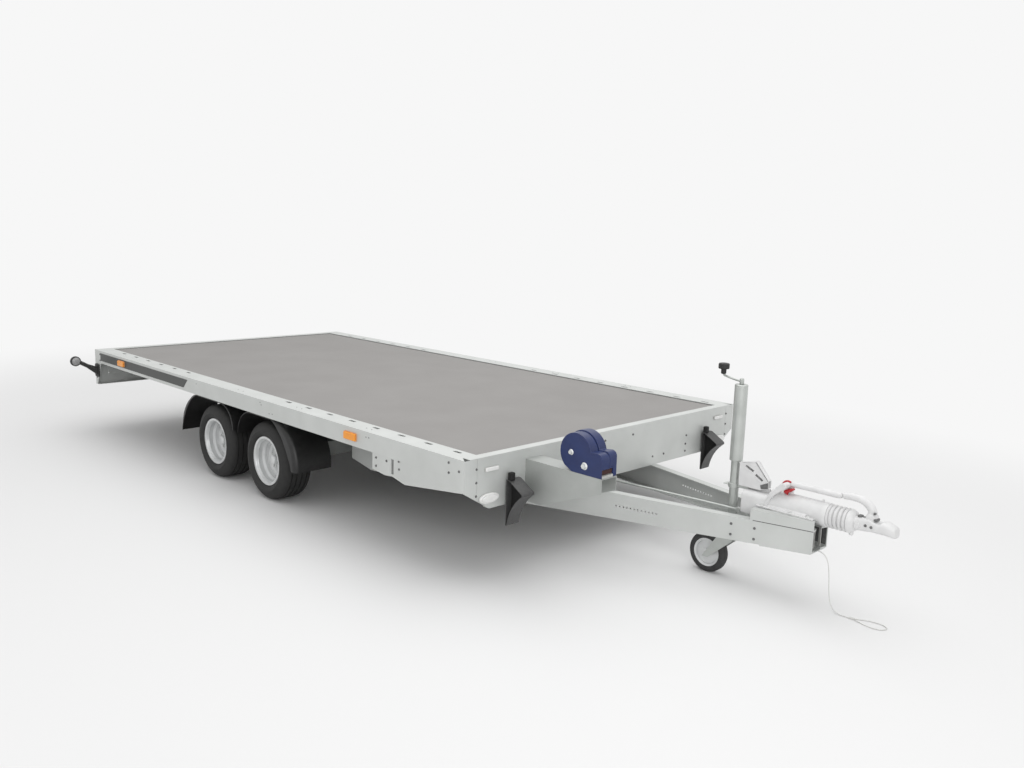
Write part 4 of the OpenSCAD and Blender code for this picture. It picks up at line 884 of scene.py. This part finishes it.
# Overrun housing
# Cast body of the overrun brake, coated nearly white: a foot plate bolted on the spacers, a
# barrel round the drawn tube, the relay lever's housing behind it, and a curved horn that rises
# beside it to carry the hand brake.
coupling_coat = coated("coupling_coat", (0.63, 0.63, 0.63), (0.69, 0.69, 0.69), 25, 0.38, 0.0, 0.1, 120)
plate_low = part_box("overrun_housing")[0]
draw_z = middle("bellows").z
bellows_start, bellows_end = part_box("bellows")[0].x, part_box("bellows")[1].x
mount_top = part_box("coupling_mount")[1].z
barrel_length = 0.285
barrel_start = bellows_start - barrel_length
barrel = turned("barrel", [
    (0.032, 0.0), (0.050, 0.0), (0.0535, 0.004), (0.0535, barrel_length - 0.030), (0.055, barrel_length - 0.026),
    (0.055, barrel_length - 0.004), (0.0535, barrel_length), (0.032, barrel_length)],
    (barrel_start, 0, draw_z), ahead, 64)
plate = slab("foot_plate", (barrel_start - 0.040, -0.070, mount_top),
             (bellows_start - 0.045, 0.070, mount_top + 0.008), 0.002)
relay_low, relay_top = plate_low.z, draw_z + 0.032
relay_box = prism("relay_box", [(-0.058, relay_low), (0.058, relay_low)]
                  + arc(0.032, relay_top - 0.026, 0.026, 0, 90, 6)
                  + arc(-0.032, relay_top - 0.026, 0.026, 90, 180, 6),
                  "yz", plate_low.x, barrel_start + 0.012 - plate_low.x, 0.005, 3)
saddle = prism("barrel_saddle", [(-0.062, mount_top + 0.006), (0.062, mount_top + 0.006), (0.055, draw_z - 0.004),
                                 (-0.055, draw_z - 0.004)], "yz", barrel_start + 0.010, 0.190, 0.004, 3)
ridge_z = draw_z + 0.0565
ridge = prism("guide_ridge", [(barrel_start + 0.070, draw_z + 0.050), (bellows_start - 0.030, draw_z + 0.050),
                              (bellows_start - 0.030, ridge_z + 0.008), (bellows_start - 0.038, ridge_z + 0.008),
                              (bellows_start - 0.042, ridge_z), (barrel_start + 0.070, ridge_z)],
              "xz", -0.003, 0.006, 0.001)
horn_line = [(0.007, -0.029), (0.007, -0.020), (0.012, -0.004), (0.019, 0.013), (0.027, 0.027), (0.037, 0.041),
             (0.050, 0.054), (0.067, 0.067), (0.085, 0.078), (0.095, 0.090), (0.095, 0.106), (0.079, 0.111),
             (0.061, 0.098), (0.041, 0.078), (0.023, 0.056), (0.009, 0.034), (-0.003, 0.006), (-0.015, -0.029)]
horn = prism("brake_horn", [(barrel_start + x, draw_z + z) for x, z in horn_line], "xz", -0.060, 0.048, 0.005, 3)
seat(joined("overrun_casting", barrel, plate, relay_box, saddle, ridge, horn), "chassis", coupling_coat,
     "coupling_white", "overrun_housing")
screws("housing_nuts", "chassis", [((barrel_start + x, side * 0.064, mount_top + 0.008), up)
                                   for x in (-0.012, 0.130, 0.215) for side in (-1, 1)], 0.013, 0.007, 0.0095)

# Bellows
# Moulded rubber gaiter with rounded ribs over the drawn tube, with a plain cuff that grips the
# barrel's end.
pale_rubber = coated("pale_rubber", (0.60, 0.60, 0.60), (0.66, 0.66, 0.66), 30, 0.6, 0.0, 0.1, 200)
ribs = 4
cuff = 0.012
pitch = (bellows_end - bellows_start - cuff) / ribs
gaiter_line = [(0.0335, 0.0), (0.050, 0.0), (0.0525, 0.003), (0.0525, cuff - 0.003), (0.0505, cuff - 0.0005)]
for n in range(ribs):
    for t in range(13):
        bulge = math.sqrt(max(0.0, 1 - (2 * t / 12 - 1) ** 2))
        gaiter_line.append((0.0445 + 0.0090 * bulge ** 0.7, cuff + (n + 0.07 + 0.86 * t / 12) * pitch))
gaiter_line.append((0.0335, bellows_end - bellows_start))
gaiter = turned("gaiter", gaiter_line, (bellows_start, 0, draw_z), ahead, 72, 50)
seat(gaiter, "chassis", pale_rubber, "bellows_rubber", "bellows")


# Coupling head
# Pressed steel head on the drawn tube, coated nearly white: a rounded cone clamped round the
# tube, a neck with two cross bolts, the latch's pivot, and a blunt hood over the ball socket.
def lofted(name, origin, sections, steps=32):
    """Rounded body through sections along X, each (x, low, high, half width, squareness) from its origin."""
    body = bmesh.new()
    rings = []
    for x, low, high, half_width, square in sections:
        ring = []
        for n in range(steps):
            c, s = math.cos(2 * math.pi * n / steps), math.sin(2 * math.pi * n / steps)
            ring.append(body.verts.new((
                origin[0] + x, origin[1] + half_width * math.copysign(abs(c) ** square, c),
                origin[2] + (low + high) / 2 + (high - low) / 2 * math.copysign(abs(s) ** square, s))))
        rings.append(ring)
    walls(body, rings)
    body.faces.new(rings[0])
    body.faces.new(rings[-1])
    return closed(body, name)


def bent_bar(name, path):
    """Round bar of changing thickness, smoothly bent through (x, y, z, radius) knots."""
    return made(bent_line(name, path, 1.0, 6, 10))


tip_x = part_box("coupling_head")[1].x
neck = bellows_end - tip_x
head = lofted("head_shell", (tip_x, 0, draw_z), [
    (neck + 0.026, -0.032, 0.034, 0.034, 0.9), (neck + 0.034, -0.032, 0.033, 0.033, 0.75),
    (-0.160, -0.029, 0.032, 0.031, 0.6), (-0.140, -0.026, 0.034, 0.032, 0.5), (-0.112, -0.022, 0.036, 0.034, 0.5),
    (-0.088, -0.020, 0.027, 0.036, 0.5), (-0.076, -0.020, 0.024, 0.037, 0.5), (-0.064, -0.020, 0.030, 0.038, 0.55),
    (-0.050, -0.021, 0.035, 0.038, 0.6), (-0.034, -0.022, 0.031, 0.036, 0.62), (-0.012, -0.024, 0.023, 0.030, 0.56),
    (-0.004, -0.025, 0.017, 0.026, 0.5), (-0.0005, -0.024, 0.008, 0.021, 0.5)])
ball = 0.0252
dome = [(r, z + 0.0016) for z, r in arc(0, 0, ball, 15, 90, 5)]
head = cut(head, turned("ball_socket", [(0, 0.0268)] + dome + [(ball, -0.03), (0, -0.03)],
                        (tip_x - 0.062, 0, draw_z - 0.011), up, 40))
cone = turned("tube_cone", [(0.0305, 0.0), (0.0515, 0.0), (0.0535, 0.003), (0.0525, 0.009), (0.046, 0.021),
                            (0.0385, 0.0285), (0.034, 0.031), (0.0305, 0.031)], (bellows_end, 0, draw_z), ahead, 56)
tube_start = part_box("coupling_head")[0].x
tube_length = bellows_end + 0.040 - tube_start
tube = turned("drawn_tube", [(0, 0), (0.030, 0), (0.030, tube_length), (0, tube_length)],
              (tube_start, 0, draw_z), ahead, 40)
lug = turned("cone_lug", [(0, -0.010), (0.0085, -0.010), (0.0095, -0.007), (0.0095, 0.007), (0.006, 0.011),
                          (0, 0.011)],
             (bellows_end + 0.013, -0.006, draw_z - 0.050), (0, -0.3, -1), 20)
ear = turned("neck_ear", [(0, -0.004), (0.0125, -0.004), (0.014, 0.0), (0.0125, 0.006), (0, 0.007)],
             (bellows_end + 0.046, -0.032, draw_z - 0.002), right, 24)
boss = lofted("latch_boss", (tip_x, 0, draw_z), [
    (-0.136, 0.020, 0.046, 0.014, 0.8), (-0.130, 0.018, 0.056, 0.022, 0.7), (-0.118, 0.018, 0.062, 0.025, 0.7),
    (-0.104, 0.018, 0.062, 0.025, 0.7), (-0.094, 0.018, 0.052, 0.022, 0.7), (-0.088, 0.018, 0.040, 0.014, 0.8)])
seat(joined("coupling_casting", head, cone, tube, lug, ear, boss), "chassis", coupling_coat, "coupling_white",
     "coupling_head")
shaded_steel = coated("shaded_steel", (0.10, 0.10, 0.10), (0.17, 0.17, 0.17), 80, 0.5, 0.3)
latch_bits = [slab(name, (x0, y0, draw_z + z0), (x1, y1, draw_z + z1), bevel)
              for name, x0, x1, y0, y1, z0, z1, bevel in (
                  ("latch_slot", tip_x - 0.096, tip_x - 0.082, -0.026, 0.010, 0.030, 0.040, 0.002),
                  ("latch_catch", tip_x - 0.099, tip_x - 0.090, -0.027, -0.012, 0.058, 0.067, 0.002),
                  ("neck_clip", bellows_end + 0.038, bellows_end + 0.056, -0.018, 0.008, 0.030, 0.039, 0.003),
                  ("neck_spring", bellows_end + 0.060, bellows_end + 0.074, -0.014, 0.002, 0.029, 0.0355, 0.002))]
latch_bits += [turned("cross_bolt", [(0, -0.002), (0.0062, -0.002), (0.0062, 0.003), (0.0048, 0.0042), (0, 0.0042)],
                      (tip_x - x, side * y, draw_z + z), (0, side, 0), 16)
               for x, y, z in ((0.125, 0.0325, 0.006), (0.099, 0.0345, 0.005)) for side in (-1, 1)]
seat(joined("latch_parts", *latch_bits), "chassis", shaded_steel, "zinc_plate")

# Coupling handle
# Moulded grip of the coupling's latch, thick and rounded, that runs forward over the head and
# bends down to its pivot.
grip_start, grip_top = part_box("coupling_handle")[0].x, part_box("coupling_handle")[1].z
grip = bent_bar("latch_grip", [
    (grip_start, 0, grip_top - 0.0185, 0.0165), (grip_start + 0.008, 0, grip_top - 0.0180, 0.0165),
    (grip_start + 0.048, 0, grip_top - 0.0165, 0.0165), (grip_start + 0.088, 0, grip_top - 0.0235, 0.0170),
    (tip_x - 0.124, 0, grip_top - 0.0420, 0.0185), (tip_x - 0.112, 0, grip_top - 0.0640, 0.0185),
    (tip_x - 0.110, 0, draw_z + 0.045, 0.0170)])
seat(grip, "chassis", coupling_coat, "coupling_white", "coupling_handle")

# Hand brake
# Tube of the hand brake lever with its closed end on the horn of the housing, a red release cap
# beside it and a red catch above. The tube is coated like the coupling.
rod_z = draw_z + 0.100
lever_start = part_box("handbrake_lever")[0].x + 0.020
lever_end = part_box("handbrake_lever")[1].x
rod = bent_bar("lever_tube", [
    (lever_start - 0.010, 0, rod_z - 0.006, 0.0110), (lever_start + 0.030, 0, rod_z - 0.001, 0.0136),
    (lever_start + 0.100, 0, rod_z, 0.0138), (lever_end - 0.020, 0, rod_z, 0.0138),
    (lever_end - 0.006, 0, rod_z, 0.0122), (lever_end - 0.0005, 0, rod_z, 0.0075)])
arm = prism("lever_arm", [(lever_start - 0.020, draw_z + 0.0500), (lever_start + 0.024, draw_z + 0.0500),
                          (lever_start + 0.026, rod_z + 0.004), (lever_start - 0.010, rod_z + 0.010),
                          (lever_start - 0.020, rod_z + 0.004)], "xz", -0.006, 0.012, 0.003, 3)
seat(joined("hand_brake", rod, arm), "chassis", coupling_coat, "coupling_white", "handbrake_lever")
release_red = coated("release_red", (0.36, 0.010, 0.014), (0.50, 0.018, 0.024), 50, 0.32)
catch = bent_bar("red_catch", [
    (lever_start - 0.027, -0.010, rod_z - 0.006, 0.0040), (lever_start - 0.018, -0.010, rod_z + 0.004, 0.0048),
    (lever_start - 0.004, -0.010, rod_z + 0.011, 0.0050), (lever_start + 0.013, -0.010, rod_z + 0.010, 0.0040)])
cap = lofted("red_cap", (lever_start, -0.016, draw_z), [
    (-0.013, 0.058, 0.070, 0.006, 0.7), (-0.006, 0.053, 0.074, 0.009, 0.6), (0.004, 0.055, 0.077, 0.010, 0.6),
    (0.018, 0.066, 0.082, 0.009, 0.6), (0.032, 0.076, 0.086, 0.006, 0.7), (0.038, 0.081, 0.086, 0.003, 0.8)], 20)
stalk = turned("red_stalk", [(0, 0), (0.0035, 0), (0.0035, 0.022), (0, 0.022)],
               (lever_start + 0.003, -0.016, draw_z + 0.044), up, 12)
seat(joined("brake_release", catch, cap, stalk), "chassis", release_red, "red_lens")

# Lever bracket
# Bracket folded from sheet between jockey tube and relay housing, coated nearly white: two
# cheeks with a long slot above and one in front, a sloping top, and a steel clip low in front.
stay_low, stay_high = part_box("lever_bracket")
stay_x, stay_z = stay_low.x, stay_high.z
cheek_line = [(stay_x + x, stay_z + z) for x, z in (
    (0.004, -0.133), (0.004, -0.023), (0.017, -0.023), (0.088, -0.005), (0.098, -0.009), (0.158, -0.083),
    (0.158, -0.118), (0.117, -0.133))]
cheeks = []
for cheek_y in (-0.026, -0.002):
    windows = []
    for a, b in (((0.037, -0.033), (0.078, -0.052)), ((0.090, -0.065), (0.128, -0.087))):
        a, b = Vector(a), Vector(b)
        off = Vector((a.y - b.y, b.x - a.x)).normalized() * 0.0055
        corners = [(stay_x + p.x, stay_z + p.y) for p in (a + off, b + off, b - off, a - off)]
        windows.append(prism("stay_window", corners, "xz", cheek_y - 0.002, 0.008))
    cheek = cut(prism("stay_cheek", cheek_line, "xz", cheek_y, 0.004), *windows)
    soften(cheek, 0.001)
    cheeks.append(cheek)
folds = [prism("stay_fold", [(stay_x + x, stay_z + z) for x, z in line], "xz", -0.026, 0.028)
         for line in (((0.0, -0.026), (0.088, -0.0055), (0.088, -0.0025), (0.0, -0.023)),
                      ((0.088, -0.005), (0.158, -0.083), (0.156, -0.085), (0.086, -0.007)))]
stay_foot = slab("stay_foot", (stay_x + 0.060, -0.006, stay_low.z),
                 (stay_x + 0.158, 0.006, stay_low.z + 0.030), 0.001)
seat(joined("lever_stay", *cheeks, *folds, stay_foot), "chassis", coupling_coat, "coupling_white", "lever_bracket")
clip = prism("stay_clip", [(stay_x + x, stay_z + z) for x, z in (
    (0.118, -0.109), (0.157, -0.090), (0.158, -0.118), (0.123, -0.126))], "xz", -0.0285, 0.004, 0.001)
seat(clip, "chassis", shaded_steel, "zinc_plate")

# Beam ends
# The folded spacers stand on the beams' front ends. A thin dark strip along each beam's top edge
# is painted shade for the seam under them; inside each beam a dark sheet is painted shade, and a
# bright stiffener closes the inner edge.
beam_slope = 0.235
beam_turn = math.atan(beam_slope)
beam_root_y = 0.340
beam_tip_x, beam_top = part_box("drawbar_beam_right")[1].x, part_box("drawbar_beam_right")[1].z
beam_tip_y = beam_root_y - beam_slope * (beam_tip_x - panel_x)


def beside_beam(side, back, inward):
    """Plan of a beam: back from its front end and inward from its outer face."""
    return (beam_tip_x - back * math.cos(beam_turn) - inward * math.sin(beam_turn),
            side * (beam_tip_y + back * math.sin(beam_turn) - inward * math.cos(beam_turn)))


# Two dark strips per beam are painted shade, one along the top edge and one inside the web.
strips, stiffeners = [], []
for side in (-1, 1):
    for group, y0, y1, back0, back1, low, high in (
            (strips, -0.0004, 0.006, 0.001, 0.272, -0.0016, 0.0020),
            (strips, 0.0053, 0.0063, 0.003, 0.300, -0.088, -0.0055),
            (stiffeners, 0.0405, 0.0435, 0.002, 0.014, -0.088, -0.0055)):
        plan = [beside_beam(side, back, y) for back, y in ((back0, y0), (back1, y0), (back1, y1), (back0, y1))]
        group.append(prism("beam_strip", plan, "xy", beam_top + low, high - low))
seat(joined("painted_shade_strips", *strips), "chassis", shaded_steel, "black_plastic")
seat(joined("beam_stiffeners", *stiffeners), "chassis", lead_steel, "zinc_plate")
beam_bolts = []
for side in (-1, 1):
    outward = (math.sin(beam_turn), side * math.cos(beam_turn), 0)
    beam_bolts += [((panel_x + x, side * (beam_root_y - beam_slope * x), z), outward)
                   for x, z in ((0.794, 0.327), (0.794, 0.276), (0.900, 0.326), (0.900, 0.275))]
screws("beam_bolts", "chassis", beam_bolts, 0.009, 0.005, 0.0065, kind=shade_dark_heads)

# Jockey wheel
# Zinc plated outer tube with an end cap, held by the bracket, and a sliding inner tube through a
# clamp with two thin wings. The crank on top ends in a black knob.
tube_low, tube_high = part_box("jockey_tube")
tube_x = middle("jockey_tube").x
tube_r = (tube_high.x - tube_low.x) / 2
length = tube_high.z - tube_low.z
outer_tube = turned("jockey_outer_tube", [
    (0.0225, 0), (tube_r - 0.001, 0), (tube_r, 0.001), (tube_r, length - 0.014), (tube_r - 0.0005, length - 0.0135),
    (tube_r - 0.0005, length - 0.0115), (tube_r, length - 0.011), (tube_r, length - 0.003), (tube_r - 0.003, length),
    (0.012, length), (0.012, length - 0.006), (0.027, length - 0.008), (0.027, 0.03), (0.0225, 0.03)],
    (tube_x, 0, tube_low.z), up, 56)
seat(outer_tube, "chassis", plated, "zinc_plate", "jockey_tube")
knob_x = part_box("jockey_crank")[0].x + 0.022
crank_z = tube_high.z
crank = bent_bar("crank_rod", [(x, 0, crank_z + z, 0.005) for x, z in (
    (tube_x, 0.014), (tube_x - 0.030, 0.017), (knob_x + 0.016, 0.028), (knob_x + 0.004, 0.032), (knob_x, 0.046))])
hub_nut = turned("crank_nut", [(0, 0), (0.0095, 0), (0.0105, 0.002), (0.0105, 0.024), (0.008, 0.0278), (0, 0.028)],
                 (tube_x, 0, crank_z), up, 24)
seat(joined("jockey_crank_rod", crank, hub_nut), "chassis", plated, "zinc_plate", "jockey_crank")
black_moulding = coated("black_moulding", (0.010, 0.010, 0.010), (0.019, 0.019, 0.019), 40, 0.55, 0.0, 0.2, 350)
knob = turned("crank_knob", [
    (0, 0.036), (0.010, 0.036), (0.0125, 0.040), (0.0125, 0.056), (0.015, 0.060), (0.024, 0.061),
    (0.026, 0.064), (0.026, 0.083), (0.0235, 0.0865), (0.017, 0.0878), (0, 0.088)], (knob_x, 0, crank_z), up, 32)
seat(knob, "chassis", black_moulding, "black_plastic")

stem_low, stem_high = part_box("jockey_stem")
stem_r = (stem_high.x - stem_low.x) / 2
clamp_z = middle("jockey_clamp").z
collar = turned("clamp_collar", [(stem_r + 0.0006, -0.011), (stem_r + 0.005, -0.011), (stem_r + 0.006, -0.010),
                                 (stem_r + 0.006, 0.010), (stem_r + 0.005, 0.011), (stem_r + 0.0006, 0.011)],
                (tube_x, 0, clamp_z), up, 40)
bar = slab("clamp_bar", (tube_x + stem_r + 0.002, -0.009, clamp_z - 0.006),
           (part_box("jockey_clamp")[1].x, 0.009, clamp_z + 0.006), 0.001)
wing = slab("clamp_wing", (tube_x - 0.050, -0.017, clamp_z - 0.002),
            (tube_x - stem_r - 0.002, 0.017, clamp_z + 0.002), 0.001)
seat(joined("jockey_stem_clamp", collar, bar, wing), "chassis", plated, "zinc_plate", "jockey_clamp")

# Jockey roller
# Solid rubber tyre on a grey pressed hub, between the fork's two legs, on a through bolt.
solid_rubber = coated("solid_rubber", (0.022, 0.022, 0.022), (0.036, 0.036, 0.036), 40, 0.7, 0.0, 0.2, 300)
roller_low, roller_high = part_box("jockey_wheel")
roller_r = (roller_high.z - roller_low.z) / 2
roller_half = (roller_high.y - roller_low.y) / 2


def mirrored(half_line):
    """A wheel's outline from its near half, (radius, distance in from its side face)."""
    return ([(r, y - roller_half) for r, y in half_line]
            + [(r, roller_half - y) for r, y in reversed(half_line)])


roller_tyre = turned("roller_tyre", mirrored([
    (0.068, 0.004), (roller_r - 0.020, 0), (roller_r - 0.010, 0.001), (roller_r - 0.003, 0.006),
    (roller_r, 0.014)]),
    middle("jockey_wheel"), left, 64)
seat(roller_tyre, "jockey_roller", solid_rubber, "roller_rubber", "jockey_wheel")
disc_in = roller_half - 0.010
roller_hub = turned("roller_hub", mirrored([
    (0.0061, 0), (0.016, 0), (0.018, 0.002), (0.019, disc_in), (0.058, disc_in), (0.060, 0.006), (0.070, 0.003)]),
    middle("jockey_wheel"), left, 48)
seat(roller_hub, "jockey_roller", wheel_silver, "zinc_plate")
